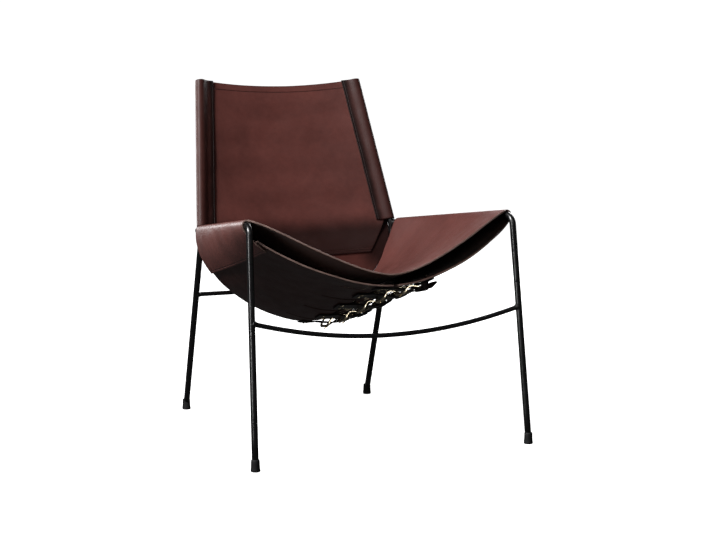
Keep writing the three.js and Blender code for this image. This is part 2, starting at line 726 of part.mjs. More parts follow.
// The prong turns on the heel bar and rests on the front bar's outer side
function prong() {
  const heel = vec(BUCKLE_HALF_L, 0, -HEEL_BAR_DEPTH);
  const ring = new THREE.Shape();
  ring.absarc(0, 0, PRONG_EYE_R, 0, 2 * Math.PI, false);
  const bore = new THREE.Path();
  bore.absarc(0, 0, HEEL_BAR_R + PRONG_GAP, 0, 2 * Math.PI, true);
  ring.holes.push(bore);
  const depth = PRONG_EYE_W;
  const eye = new THREE.ExtrudeGeometry(ring, { depth, bevelEnabled: false, curveSegments: EYE_STEPS });
  eye.translate(0, 0, -PRONG_EYE_W / 2);
  eye.rotateX(Math.PI / 2);
  eye.translate(heel.x, heel.y, heel.z);
  const restDepth = FRONT_BAR_DEPTH + FRONT_BAR_R + LAY_GAP + PRONG_R;
  const reach = vec(-BUCKLE_HALF_L, 0, -restDepth).sub(heel);
  const tip = heel.clone().addScaledVector(reach, 1 + FRONT_BAR_R / reach.length());
  const eyeMiddle = (HEEL_BAR_R + PRONG_GAP + PRONG_EYE_R) / 2;
  const root = heel.clone().addScaledVector(reach.clone().normalize(), eyeMiddle);
  const arm = new THREE.CylinderGeometry(PRONG_R, PRONG_TIP_R, root.distanceTo(tip), PRONG_SIDES);
  arm.rotateX(-Math.PI / 2);
  const turn = new THREE.Quaternion().setFromUnitVectors(vec(0, 0, 1), reach.clone().negate().normalize());
  arm.applyQuaternion(turn);
  const middle = root.clone().add(tip).divideScalar(2);
  arm.translate(middle.x, middle.y, middle.z);
  return join([eye, arm]);
}

// The chape: a band folded round the heel bar, both its ends riveted under the right belly panel
function chape(frame) {
  const half = CHAPE_W / 2;
  const heelDepth = HEEL_BAR_DEPTH;
  const innerDepth = BELLY_RELIEF + CHAPE_T / 2;
  const outerDepth = innerDepth + CHAPE_T + LAY_GAP;
  const shares = [-1, 0, 1];
  const rise = spread(RISE_END, RISE_START, RISE_STEPS);
  const legPlaces = [...spread(CHAPE_END, RISE_END, RISE_STEPS).slice(0, RISE_STEPS), ...rise, BUCKLE_HALF_L];
  const legRow = (along, depth, barDepth) => shares.map((share) => {
    const settled = ease(along, RISE_START, RISE_END);
    const face = faceOver(frame, along, share * half) * settled;
    return vec(along, share * half, face - mix(barDepth, depth, settled));
  });
  const inner = legPlaces.map((along) => legRow(along, innerDepth, CHAPE_LEG_DEPTH));
  const outer = [...legPlaces].reverse().map((along) => legRow(along, outerDepth, heelDepth + CHAPE_FOLD_R));
  const fold = Array.from({ length: FOLD_STEPS - 1 }, (unused, i) => {
    const angle = Math.PI / 2 + (Math.PI * (i + 1)) / FOLD_STEPS;
    return shares.map((share) => vec(BUCKLE_HALF_L + CHAPE_FOLD_R * Math.cos(angle), share * half,
      -heelDepth + CHAPE_FOLD_R * Math.sin(angle)));
  });
  const folded = leatherSheet([...inner, ...fold, ...outer], CHAPE_T);
  const slot = prism(BUCKLE_HALF_L - CHAPE_SLOT_L, BUCKLE_HALF_L + CHAPE_SLOT_L, CHAPE_SLOT_W,
    -CUTTER_REACH, CUTTER_REACH);
  return cut(folded, [slot, ...chapeRivetHoles(frame)]);
}

// The keeper: a leather loop round the chape and the strap's tail
function keeper(frame) {
  const low = KEEPER_MID - KEEPER_L / 2;
  const high = KEEPER_MID + KEEPER_L / 2;
  const top = CHAPE_T / 2 + KEEPER_GAP - CHAPE_LEG_DEPTH;
  const deep = STRAP_T + KEEPER_GAP - Math.min(strapHeight(frame, low, 0), strapHeight(frame, high, 0));
  const half = STRAP_W / 2 + KEEPER_GAP;
  const loop = (extra, hole) => {
    const path = hole ? new THREE.Path() : new THREE.Shape();
    const corner = extra > 0 ? extra : KEEPER_GAP;
    const [x0, x1, y0, y1] = [-deep - extra, top + extra, -half - extra, half + extra];
    path.absarc(x1 - corner, y1 - corner, corner, 0, Math.PI / 2, false);
    path.absarc(x0 + corner, y1 - corner, corner, Math.PI / 2, Math.PI, false);
    path.absarc(x0 + corner, y0 + corner, corner, Math.PI, THREE_QUARTERS, false);
    path.absarc(x1 - corner, y0 + corner, corner, THREE_QUARTERS, 2 * Math.PI, false);
    path.closePath();
    return path;
  };
  const shape = loop(KEEPER_T, false);
  shape.holes.push(loop(0, true));
  const depth = KEEPER_L;
  const ring = new THREE.ExtrudeGeometry(shape, { depth, bevelEnabled: false, curveSegments: LOOP_STEPS });
  ring.rotateY(-Math.PI / 2);
  ring.translate(high, 0, 0);
  return ring;
}

const strapBacks = Array.from({ length: STRAP_COUNT }, (unused, i) => FIRST_STRAP_BACK + i * STRAP_PITCH);
const straps = strapBacks.map((back) => buckleFrame(back));

// A slit between two fingers: narrow and round at its root, wider at the fingers' ends
function slit() {
  const root = SLIT_ROOT_W / 2;
  const shape = new THREE.Shape();
  shape.moveTo(BUCKLE_MID, -FINGER_GAP / 2);
  shape.lineTo(BUCKLE_MID, FINGER_GAP / 2);
  shape.lineTo(LEFT_BELLY_END - STRAP_LAP, FINGER_GAP / 2);
  shape.absarc(FINGER_ROOT + root, 0, root, Math.PI / 2, THREE_QUARTERS, false);
  shape.lineTo(LEFT_BELLY_END - STRAP_LAP, -FINGER_GAP / 2);
  shape.closePath();
  const depth = FRONT_TOP_HEIGHT;
  return new THREE.ExtrudeGeometry(shape, { depth, bevelEnabled: false, curveSegments: SLOT_STEPS });
}

function leftBelly() {
  const middle = bellyShares.map((share) => mirrored(bellyRow(share, LEFT_BELLY_END, LEFT_BELLY_STEPS)));
  const tools = straps.slice(1).map(({ back }) => slit().translate(0, back - STRAP_PITCH / 2, 0));
  const holes = straps.flatMap((frame) => strapRivetHoles(frame)
    .map((hole) => hole.applyMatrix4(frame.matrix)));
  return cut(leatherSheet(middle, LEATHER), [...tools, ...holes]);
}

function rightBelly() {
  const middle = bellyShares.map((share) => bellyRow(share, RIGHT_BELLY_START, RIGHT_BELLY_STEPS));
  const holes = straps.flatMap((frame) => chapeRivetHoles(frame)
    .map((hole) => hole.applyMatrix4(frame.matrix)));
  return cut(leatherSheet(middle, LEATHER), holes);
}

addPart('left_belly', leftBelly(), 'leather');
addPart('right_belly', rightBelly(), 'leather');

straps.forEach((frame, i) => {
  const unit = new THREE.Group();
  unit.applyMatrix4(frame.matrix);
  chair.add(unit);
  addPart(`strap_${i + 1}`, strap(frame), 'leather', unit);
  addPart(`buckle_${i + 1}`, buckle(), 'brass', unit);
  addPart(`prong_${i + 1}`, prong(), 'brass', unit);
  addPart(`chape_${i + 1}`, chape(frame), 'leather', unit);
  addPart(`keeper_${i + 1}`, keeper(frame), 'leather', unit);
});

// Rivets: two through each strap and its finger, one through each chape and the right panel
const STRAP_GRIP = LEATHER + BELLY_RELIEF + STRAP_T + 4 * LAY_GAP;
const CHAPE_GRIP = LEATHER + BELLY_RELIEF + 2 * CHAPE_T + 5 * LAY_GAP;
straps.forEach((frame, i) => {
  const unit = new THREE.Group();
  unit.applyMatrix4(frame.matrix);
  chair.add(unit);
  const fasten = (name, along, across, grip) => {
    const head = addPart(name, rivet(grip), 'brass', unit);
    rivetSeat(frame, along, across).decompose(head.position, head.quaternion, head.scale);
  };
  fasten(`front_strap_rivet_${i + 1}`, STRAP_RIVET_AT, -RIVET_SPREAD, STRAP_GRIP);
  fasten(`rear_strap_rivet_${i + 1}`, STRAP_RIVET_AT, RIVET_SPREAD, STRAP_GRIP);
  fasten(`chape_rivet_${i + 1}`, CHAPE_RIVET_AT, 0, CHAPE_GRIP);
});

// Back

const leanDirection = RIGHT.backTop.clone().sub(RIGHT.knee).setX(0).normalize();
const backward = vec(1, 0, 0).cross(leanDirection).negate();
const uprightAt = (height) => atHeight(RIGHT.knee, RIGHT.backTop, height);

// A point of the back's middle surface: share runs from -1 at the left upright to 1 at the right one
function backPoint(height, across) {
  const axis = uprightAt(height);
  const bow = BACK_BOW * (1 - Math.min(1, (across / axis.x) ** 2));
  return vec(across, axis.y, height).addScaledVector(backward, bow);
}

const topHeight = BACK_TOP_HEIGHT + BACK_TOP_RISE;

// The panel narrows below the sleeves, down to the seam on the apron
function backPanel() {
  const below = spread(BACK_SEAM_HEIGHT, BACK_SLEEVE_FOOT - BACK_EDGE_CLEAR, TAPER_STEPS);
  const heights = [...below, ...spread(BACK_SLEEVE_FOOT, topHeight, UPRIGHT_STEPS)];
  const middle = heights.map((height) => {
    const inSleeve = uprightAt(height).x - BACK_EDGE_CLEAR;
    const taper = (height - BACK_SEAM_HEIGHT) / (BACK_SLEEVE_FOOT - BACK_SEAM_HEIGHT);
    const half = height < BACK_SLEEVE_FOOT ? mix(BACK_SEAM_HALF, inSleeve, taper) : inSleeve;
    return spread(-1, 1, PANEL_COLUMNS).map((share) => backPoint(height, share * half));
  });
  return leatherSheet(middle, BACK_T);
}

// A sleeve: a strip folded round the upright, its two edges sewn to the panel's front and rear faces
function backSleeve(side) {
  const wrap = ROD_D / 2 + WRAP_GAP + BACK_T / 2;
  const outside = wrap + BACK_T / 2;
  const seamAt = BACK_SLEEVE_W - outside;
  const layer = BACK_T + 2 * LAY_GAP;
  const middle = spread(BACK_SLEEVE_FOOT, topHeight, SLEEVE_STEPS).map((height) => {
    const axis = uprightAt(height);
    const place = (inward, q) => {
      const across = axis.x - inward;
      const share = ease(inward, 0, BACK_EDGE_CLEAR + BACK_T);
      const base = backPoint(height, across);
      const straight = vec(across, axis.y, height);
      return straight.lerp(base, share).addScaledVector(backward, q).setX(side * across);
    };
    const legDepth = (inward) => mix(wrap, layer, ease(inward, 0, BACK_EDGE_CLEAR + 2 * BACK_T));
    const leg = spread(seamAt, 0, SLEEVE_LEG_STEPS).slice(0, SLEEVE_LEG_STEPS);
    const front = leg.map((inward) => place(inward, -legDepth(inward)));
    const round = (angle) => place(-wrap * Math.cos(angle), wrap * Math.sin(angle));
    const arc = spread(-Math.PI / 2, Math.PI / 2, SLEEVE_ARC_STEPS).map(round);
    const rear = [...leg].reverse().map((inward) => place(inward, legDepth(inward)));
    return [...front, ...arc, ...rear];
  });
  return leatherSheet(middle, BACK_T);
}

// The apron: a second layer behind the back's foot, cut to the seat's curve along its lower edge
function backApron() {
  const top = BACK_SLEEVE_FOOT - BACK_EDGE_CLEAR / 2;
  const layer = BACK_T + 2 * LAY_GAP;
  const half = uprightAt(top).x - ROD_D / 2 - APRON_ROD_GAP;
  const angles = spread(-Math.PI / 2, Math.PI / 2, APRON_COLUMNS);
  const columns = angles.map((angle) => {
    const across = half * Math.sin(angle);
    const place = (height) => backPoint(height, across).addScaledVector(backward, layer);
    const seatEnd = seatBack(1, across, SEAT_REAR_BULGE);
    const clear = (height) => {
      const point = place(height);
      const { curve } = seatCurve(point.y);
      const parameter = parameterAcross(curve, Math.abs(across));
      const drop = (point.z - curve.getPoint(parameter).y) * Math.abs(curve.getTangent(parameter).x);
      return Math.max(drop - LEATHER / 2 - 3 * LAY_GAP, point.y - seatEnd - layer);
    };
    let low = SEAT_MID_REAR - LEATHER;
    let high = top;
    for (let step = 0; step < HALVING_STEPS; step += 1) {
      const middle = (low + high) / 2;
      if (clear(middle) > 0) high = middle;
      else low = middle;
    }
    return spread(high + BACK_T / 2, top, APRON_ROWS).map(place);
  });
  return leatherSheet(columns, BACK_T);
}

addPart('back_panel', backPanel(), 'leather');
addPart('left_back_sleeve', backSleeve(-1), 'leather');
addPart('right_back_sleeve', backSleeve(1), 'leather');
addPart('back_apron', backApron(), 'leather');

// The origin goes to the middle of the footprint
const reach = new THREE.Box3().setFromObject(chair);
chair.position.y = -(reach.min.y + reach.max.y) / 2;
chair.updateMatrixWorld(true);

export default chair;
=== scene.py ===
"""Leather sling lounge chair: leather, rod, brass and studio, fitted round the chair's own solids."""

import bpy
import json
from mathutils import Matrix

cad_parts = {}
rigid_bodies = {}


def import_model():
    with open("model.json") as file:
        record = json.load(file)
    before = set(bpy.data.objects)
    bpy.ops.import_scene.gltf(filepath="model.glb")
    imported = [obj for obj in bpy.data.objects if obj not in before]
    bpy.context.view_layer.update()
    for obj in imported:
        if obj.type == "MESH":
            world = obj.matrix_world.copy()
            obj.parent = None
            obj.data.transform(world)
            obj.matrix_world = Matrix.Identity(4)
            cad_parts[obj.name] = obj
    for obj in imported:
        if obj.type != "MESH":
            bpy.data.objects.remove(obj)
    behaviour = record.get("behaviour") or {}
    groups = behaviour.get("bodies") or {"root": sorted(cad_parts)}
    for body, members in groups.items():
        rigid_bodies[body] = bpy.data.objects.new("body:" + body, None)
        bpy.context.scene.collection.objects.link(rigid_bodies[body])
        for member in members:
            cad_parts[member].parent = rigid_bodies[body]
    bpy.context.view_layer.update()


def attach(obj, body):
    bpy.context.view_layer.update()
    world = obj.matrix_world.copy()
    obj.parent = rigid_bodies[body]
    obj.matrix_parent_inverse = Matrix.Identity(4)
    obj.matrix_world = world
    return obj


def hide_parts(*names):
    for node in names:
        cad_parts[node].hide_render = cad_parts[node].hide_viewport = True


bl_info = {
    "name": "Leather sling lounge chair",
    "version": (1, 0, 0),
    "blender": (4, 5, 0),
    "location": "3D View > Sidebar > Sling Chair",
    "description": "Builds the chair's leathers, rods, buckles and studio round its frame",
    "category": "Add Mesh",
}

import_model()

import json
import math

import bmesh
import bpy
from bpy.props import FloatProperty, FloatVectorProperty, PointerProperty
from mathutils import Matrix, Vector, noise

# All sizes are metres. A distance back is measured from the line of the front feet,
# which lies FEET_TO_ORIGIN in front of the origin.
FEET_TO_ORIGIN = 0.331283

# Rods
ROD_R = 0.007
FRONT_FOOT = Vector((0.312, 0.0, 0.0))
FRONT_TOP = Vector((0.299, 0.060, 0.487))
FRONT_BEND_R = 0.022
REAR_FOOT = Vector((0.233, 0.658, 0.0))
KNEE = Vector((0.237, 0.523, 0.424))
KNEE_BEND_R = 0.045
BACK_TOP = Vector((0.196, 0.642, 0.762))
RAIL_END = Vector((0.243, 0.525817, 0.432))
STRETCHER_R = 0.005
FRONT_STRETCHER_HEIGHT = 0.292
FRONT_STRETCHER_SAG = 0.042
REAR_STRETCHER_HEIGHT = 0.282
FOOT_SOLE = 0.006
FOOT_HEIGHT = 0.025
FOOT_R = 0.0099
FOOT_TOP_R = 0.0088
ROD_SIDES = 32
STRETCHER_SIDES = 24
WELD_STEPS = 24
FOOT_STEPS = 48
TIP_ROUND = 0.0012
RAIL_TRIM = 0.02
WELD_START = 0.75
WELD_PROFILE = ((0.9, 0.0), (1.32, 0.0), (1.16, 0.0016), (1.05, 0.0034), (0.9, 0.0052))
FILLET = 0.0024
FILLET_REACH = 0.0022

# Leather
LEATHER = 0.004
LAY_GAP = 0.0003
WRAP_GAP = 0.0005
CUT_EDGE = 0.0009
STRAP_EDGE = 0.0007
CHAPE_EDGE = 0.0005
KEEPER_EDGE = 0.0004

# Seat loop
SEAT_FRONT = 0.078
SEAT_FRONT_BULGE = 0.062
SEAT_REAR = 0.506
SEAT_REAR_BULGE = 0.030
BELLY_REAR_BULGE = 0.020
SEAT_MID = (0.361, 0.249)
SEAT_LEAVE = (math.radians(12), math.radians(68))
SEAT_SHOULDER = (0.052, 0.040)
SEAT_ROWS = 44
SEAT_STEPS = (9, 8, 22)
FLAP_CROWD = 1.3
HIDE_RIPPLE = 0.0009
SEAT_RIPPLE = 0.0012
RIPPLE_SCALES = (11, 29)
RIPPLE_FINE = 0.4
SEAT_FLAT = (0.100, 0.208)
FLAP = (0.076, 0.106)
BELLY_MID = (0.352, 0.217)
BELLY_LEVEL_BACK = 0.485
BELLY_EASE = 0.6
BELLY_SWELL = 0.016
BELLY_SIDE = (0.038, 0.098)
BELLY_FLAT = (0.128, 0.092)
BELLY_TUCK = 0.032
RIGHT_BELLY_START = 0.012
RIGHT_BELLY_GRID = (34, 30)
FLAP_SEAM = 0.006

# Straps and fingers
STRAP_COUNT = 5
STRAP_STEPS = (12, 5, 10)
HOLE_COLUMNS = range(3, 4)
FIRST_STRAP = 0.052
STRAP_PITCH = 0.100
FINGER_GAP = 0.008
SLIT_ROOT_W = 0.005
SLIT_HALF = 0.0008
SLIT_OPEN_HALF = 0.0050
SLIT_OPENING = 0.060
FINGER_ROOT = -0.080
FINGER_ROWS = 6
BELLY_COLUMNS = 20
STRAP_W = 0.038
STRAP_T = 0.0032
STRAP_LAP = 0.026
ROOT_COLUMNS = (0.0, 0.0006, 0.0018)
FINGER_COLUMNS = (0.070, 0.059, 0.048, 0.037, STRAP_LAP, 0.017, 0.009, 0.0)
STRAP_TAIL = 0.112
TAIL_HANG = 0.004
BUCKLE_MID = 0.046
BUCKLE_HALF_L = 0.020
BUCKLE_HALF_W = 0.024
BUCKLE_CORNER_R = 0.007
FRONT_BAR_R = 0.0031
HEEL_BAR_R = 0.0022
BUCKLE_HANG = 0.0045
FRONT_BAR_DROP = 0.006
BUCKLE_WAVE = 0.0026
BUCKLE_CAMBER = 0.0090
SIDE_BAR_R = 0.0018
BUCKLE_SIDES = 14
PRONG_R = 0.0017
PRONG_EYE_R = 0.0044
PRONG_EYE_W = 0.005
PRONG_EYE_SOFT = 0.0004
PRONG_EYE_STEPS = 32
PRONG_SIDES = 12
PRONG_TAPER = ((0, 1.0), (0.2, 0.95), (0.4, 0.9), (0.6, 0.85), (0.8, 0.8), (0.94, 0.74), (0.985, 0.6),
               (1.0, 0.3))
PRONG_GAP = 0.0003
PRONG_HOLE = (-0.006, 0.017)
PRONG_HOLE_W = 0.005
CHAPE_T = 0.0024
CHAPE_W = 0.030
CHAPE_END = 0.058
CHAPE_SLOT_W = 0.0064
CHAPE_SLOT_L = 0.008
SLOT_STEPS = 3
KEEPER_T = 0.002
KEEPER_L = 0.011
KEEPER_MID = 0.030
KEEPER_GAP = 0.0005
KEEPER_CORNER_R = 0.0015
KEEPER_RIM = 0.004
RIVET_HEAD_R = 0.004
RIVET_HEAD_H = 0.0012
RIVET_SHANK_R = 0.0018
RIVET_STEPS = 24
RIVET_SPREAD = 0.010
STRAP_RIVET_AT = -0.060
CHAPE_RIVET_AT = 0.048
HEEL_BAR_DEPTH = BUCKLE_HANG + 2 * LAY_GAP + CHAPE_T + HEEL_BAR_R
FRONT_BAR_DEPTH = HEEL_BAR_DEPTH + FRONT_BAR_DROP
CHAPE_FOLD_R = HEEL_BAR_R + LAY_GAP + CHAPE_T / 2
STRAP_HEEL_DEPTH = HEEL_BAR_DEPTH + CHAPE_FOLD_R + CHAPE_T / 2 + 2 * LAY_GAP
STRAP_TAIL_DEPTH = TAIL_HANG + 2 * CHAPE_T + 4 * LAY_GAP + RIVET_HEAD_H
BELLY_RELIEF = 3 * LAY_GAP
CHAPE_LEG_DEPTH = HEEL_BAR_DEPTH - CHAPE_FOLD_R
RISE_START = KEEPER_MID + KEEPER_L / 2
RISE_END = CHAPE_RIVET_AT - RIVET_HEAD_R

# Back
BACK_T = 0.0036
BACK_BOW = 0.027
BACK_TOP_RISE = 0.005
BACK_TOP_HEIGHT = BACK_TOP.z + BACK_TOP_RISE
BACK_SLEEVE_W = 0.045
BACK_SLEEVE_FOOT = 0.441
BACK_SEAM_HEIGHT = 0.371
BACK_SEAM_HALF = 0.178
BACK_EDGE_CLEAR = 0.013
APRON_ROD_GAP = 0.0015
BACK_HEM = 0.016
BACK_FOOT_SEAMS = (0.004, 0.009)
BACK_RIPPLE = 0.0011
PANEL_GRID = (40, 36)
SLEEVE_ROWS = 26
APRON_GRID = (14, 40)
BACK_ROLL = 0.0009
BACK_ROLL_PITCH = 0.068
BACK_ROLL_START = 0.574
BACK_TOP_SAG = 0.006
APRON_TUCK = 0.0060
APRON_SET_BACK = 0.0055
APRON_EAR = 0.0060
APRON_FLARE = 0.007
APRON_TUCK_BAND = (RAIL_END.z - 0.032, RAIL_END.z - 0.012)
APRON_FLARE_BAND = (KNEE.z - 0.037, KNEE.z - 0.022)
SLEEVE_SEAM = 0.004

# Thread
STITCH_PITCH = 0.0052
STITCH_L = 0.0040
STITCH_R = 0.00045
STITCH_SLANT = 0.12
STITCH_LIFT = 0.35

# Studio. A light's power is in watts, and its size is width and height. Where beginnings of
# piece names are given, it lights those pieces alone.
LIGHTS = {
    "Key": dict(what="large light on the left", power=160.0, place=(-2.4, -0.8, 2.7),
                aim=(0, 0, 0.45), size=(1.3, 1.3)),
    "Fill": dict(what="light near the camera", power=6.0, place=(-0.6, -3.2, 2.6),
                 aim=(0, 0, 0.35), size=(1.5, 1.5)),
    "Flank": dict(what="light on the left flap", power=16.0, place=(-2.6, -0.5, 1.3),
                  aim=(-0.3, 0, 0.42), size=(0.9, 0.9), only=("seat", "left_sleeve")),
    "Strip": dict(what="narrow upright light on the left", power=24.0, place=(-2.6, -1.5, 1.0),
                  aim=(0, 0, 0.45), size=(0.16, 1.8),
                  only=("front_stretcher", "rear_stretcher", "left_front_rod", "right_front_rod")),
    "Low": dict(what="low light on the buckles", power=60.0, place=(1.1, -2.5, 0.35),
                aim=(0.06, -0.10, 0.30), size=(2.2, 1.6),
                only=("buckle", "chape_rivet", "front_strap_rivet", "rear_strap_rivet")),
    "Back": dict(what="low light behind the chair", power=45.0, place=(-1.4, 2.9, 1.1),
                 aim=(-0.2, 0, 0.45), size=(1.6, 1.0), only=("seat", "left_sleeve")),
    "Edge": dict(what="light along the left sleeve", power=40.0, place=(-2.6, 1.6, 1.3),
                 aim=(-0.2, 0.2, 0.55), size=(0.5, 1.2), only=("left_sleeve",)),
    "Rear": dict(what="soft light at the right rear", power=70.0, place=(2.3, 2.0, 1.8),
                 aim=(0, 0, 0.40), size=(1.8, 1.8)),
}
AIR_GLOW = 0.035
FLOOR_R = 11.0
DOME_R = 12.0
FLOOR_GLOW = 1.12
DOME_GLOW = 1.1
CAMERA_PLACE = Vector((-1.52211, -3.481733, 0.80833))
CAMERA_YAW = 0.427
CAMERA_PITCH = 0.11938
CAMERA_ROLL = 0.00062
CAMERA_LENS = 87.089
CAMERA_SENSOR = 36.0

HANDS = ((-1, "left"), (1, "right"))


# Small sums

def mix(low, high, share):
    return low + (high - low) * share


def halved(low, high, is_high, steps):
    """Closes in, by halves, on the value from which a test holds."""
    for _ in range(steps):
        middle = (low + high) / 2
        if is_high(middle):
            high = middle
        else:
            low = middle
    return low, high


def clamp(value, low=0.0, high=1.0):
    return max(low, min(high, value))


def ease(value, low, high):
    share = clamp((value - low) / (high - low))
    return share * share * (3 - 2 * share)


def spread(low, high, steps):
    return [mix(low, high, i / steps) for i in range(steps + 1)]


def placed(x, back, z):
    """A point of the chair from its distance back from the front feet."""
    return Vector((x, back - FEET_TO_ORIGIN, z))


def at_height(low, high, height):
    return low.lerp(high, (height - low.z) / (high.z - low.z))


def mirrored(point, side):
    return Vector((point.x * side, point.y, point.z))


def turned(rows):
    return [list(column) for column in zip(*rows)]


def walked(line):
    """How far along a line each of its points lies."""
    found = [0.0]
    for a, b in zip(line, line[1:]):
        found.append(found[-1] + (b - a).length)
    return found


def length_of(line):
    return walked(line)[-1]


def neighbours(items):
    """Every item of a list between the ones before and after it, or itself again at an end."""
    return zip(items[:1] + items[:-1], items, items[1:] + items[-1:])


def facing(way, up):
    """The turn that lays x along a way and z up from a face, both at right angles and of length one."""
    return Matrix((way, up.cross(way), up)).transposed().to_4x4()


def upright(way):
    """The turn that lays z along a way."""
    return way.to_track_quat("Z", "Y").to_matrix().to_4x4()


def rounded_box(low, high, corner, steps, between=()):
    """Points round a rectangle with round corners, anticlockwise from its right side. Between are the
    shares of each straight side that also get a point."""
    arcs = []
    for turn, (x, y) in enumerate(((high[0] - corner, high[1] - corner),
                                   (low[0] + corner, high[1] - corner),
                                   (low[0] + corner, low[1] + corner),
                                   (high[0] - corner, low[1] + corner))):
        angles = [math.radians(angle) for angle in spread(turn * 90, turn * 90 + 90, steps)]
        arcs.append([(x + corner * math.cos(a), y + corner * math.sin(a)) for a in angles])
    line = []
    for arc, following in zip(arcs, arcs[1:] + arcs[:1]):
        (ax, ay), (bx, by) = arc[-1], following[0]
        line += arc + [(mix(ax, bx, s), mix(ay, by, s)) for s in between]
    return line


# The leather's surfaces

class Section:
    """A cubic curve across half the seat, in the upright plane of one distance back."""

    def __init__(self, *points):
        self.points = points
        self.shares = spread(0, 1, 48)
        self.lengths = [0.0]
        for before, share in zip(self.shares, self.shares[1:]):
            self.lengths.append(self.lengths[-1] + math.dist(self.at(before), self.at(share)))

    def at(self, t):
        (ax, az), (bx, bz), (cx, cz), (dx, dz) = self.points
        s = 1 - t
        a, b, c, d = s * s * s, 3 * s * s * t, 3 * s * t * t, t * t * t
        return a * ax + b * bx + c * cx + d * dx, a * az + b * bz + c * cz + d * dz

    def slope(self, t):
        (ax, az), (bx, bz), (cx, cz), (dx, dz) = self.points
        s = 1 - t
        a, b, c = 3 * s * s, 6 * s * t, 3 * t * t
        x = a * (bx - ax) + b * (cx - bx) + c * (dx - cx)
        z = a * (bz - az) + b * (cz - bz) + c * (dz - cz)
        size = math.hypot(x, z) or 1.0
        return x / size, z / size

    def beside(self, t, back, off):
        """The chair's point at a distance off the curve, outward and downward."""
        (x, z), (sx, sz) = self.at(t), self.slope(t)
        return placed(x - sz * off, back, z + sx * off)

    def at_length(self, length):
        """The parameter at a length along the curve."""
        spans = zip(self.shares, self.shares[1:], self.lengths, self.lengths[1:])
        for start, end, short, long in spans:
            if long >= length:
                return mix(start, end, (length - short) / (long - short))
        return 1.0

    def at_across(self, across):
        """The parameter at a distance across from the middle."""
        low, high = halved(0.0, 1.0, lambda t: self.at(t)[0] <= across, 26)
        return (low + high) / 2


def back_share(back):
    return (back - SEAT_FRONT) / (SEAT_REAR - SEAT_FRONT)


def along_seat(pair, back):
    return mix(pair[0], pair[1], back_share(back))


def rail_at(back):
    return FRONT_TOP.lerp(RAIL_END, (back - FRONT_TOP.y) / (RAIL_END.y - FRONT_TOP.y))


def belly_section(back):
    """The face where the seat flaps lie on the belly, from the rail's outer side to the middle."""
    rail = rail_at(back)
    outside = rail.x + ROD_R + WRAP_GAP - LAY_GAP
    lip = SEAT_FRONT - SEAT_FRONT_BULGE
    fall = clamp((back - lip) / (BELLY_LEVEL_BACK - lip))
    low = mix(BELLY_MID[0], BELLY_MID[1], mix(fall, ease(fall, 0, 1), BELLY_EASE))
    swell = clamp(back_share(back)) * BELLY_SWELL
    return Section((outside, rail.z), (outside + swell, rail.z - along_seat(BELLY_SIDE, back)),
                   (along_seat(BELLY_FLAT, back), low), (0.0, low))


def seat_section(back):
    """The middle of the upper leather, from where it leaves the rail to the middle of the seat."""
    rail = rail_at(back)
    wrap = ROD_R + WRAP_GAP + LEATHER / 2
    leave = along_seat(SEAT_LEAVE, back)
    shoulder = along_seat(SEAT_SHOULDER, back)
    x, z = rail.x - wrap * math.sin(leave), rail.z + wrap * math.cos(leave)
    low = along_seat(SEAT_MID, back)
    return Section((x, z), (x - shoulder * math.cos(leave), z - shoulder * math.sin(leave)),
                   (along_seat(SEAT_FLAT, back), low), (0.0, low))


def seat_back(share, across, rear_bulge):
    """How far back a line from side to side runs, with both edges bulging in the middle."""
    front = SEAT_FRONT - SEAT_FRONT_BULGE * (1 - min(1, (across / FRONT_TOP.x) ** 2))
    rear = SEAT_REAR + rear_bulge * (1 - min(1, abs(across / KNEE.x) ** 4))
    return mix(front, rear, share)


def ripple(point, size=HIDE_RIPPLE):
    """Hides are never quite even: a soft swell that is the same for leathers that lie together."""
    broad, fine = RIPPLE_SCALES
    return size * noise.noise(point * broad) + RIPPLE_FINE * size * noise.noise(point * fine)


def seat_lattice():
    """Middle surface of the upper leather: flap, wrap round the rail, and half seat, then mirrored."""
    flap_steps, wrap_steps, seat_steps = SEAT_STEPS
    wrap = ROD_R + WRAP_GAP + LEATHER / 2
    lattice = []
    for share in spread(0, 1, SEAT_ROWS):
        edge = seat_back(share, FRONT_TOP.x, 0)
        rail, flap, section = rail_at(edge), belly_section(edge), seat_section(edge)
        half = []
        for i in range(flap_steps):
            t = flap.at_length(along_seat(FLAP, edge) * (1 - i / flap_steps) ** FLAP_CROWD)
            swell = ripple(flap.beside(t, edge, 0)) * ease(i, 0, 2)
            half.append(flap.beside(t, edge, LAY_GAP + LEATHER / 2 + swell))
        for i in range(wrap_steps):
            angle = (math.pi / 2 + along_seat(SEAT_LEAVE, edge)) * i / wrap_steps
            half.append(placed(rail.x + wrap * math.cos(angle), edge, rail.z + wrap * math.sin(angle)))
        for i, t in enumerate(spread(0, 1, seat_steps)):
            back = seat_back(share, section.at(t)[0], SEAT_REAR_BULGE)
            here = seat_section(back)
            half.append(here.beside(t, back, ripple(here.beside(t, back, 0), SEAT_RIPPLE) * ease(i, 0, 3)))
        lattice.append(half + [mirrored(point, -1) for point in reversed(half[:-1])])
    return lattice


def belly_point(t, back):
    """A point of the belly leather's middle surface."""
    section = belly_section(back)
    return section.beside(t, back, ripple(section.beside(t, back, 0)) - LAY_GAP - LEATHER / 2)


def belly_start(share):
    """The parameter of the belly's upper edge, tucked under the flap."""
    edge = seat_back(share, FRONT_TOP.x, 0)
    section = belly_section(edge)
    return section.at_length(along_seat(FLAP, edge) - BELLY_TUCK)


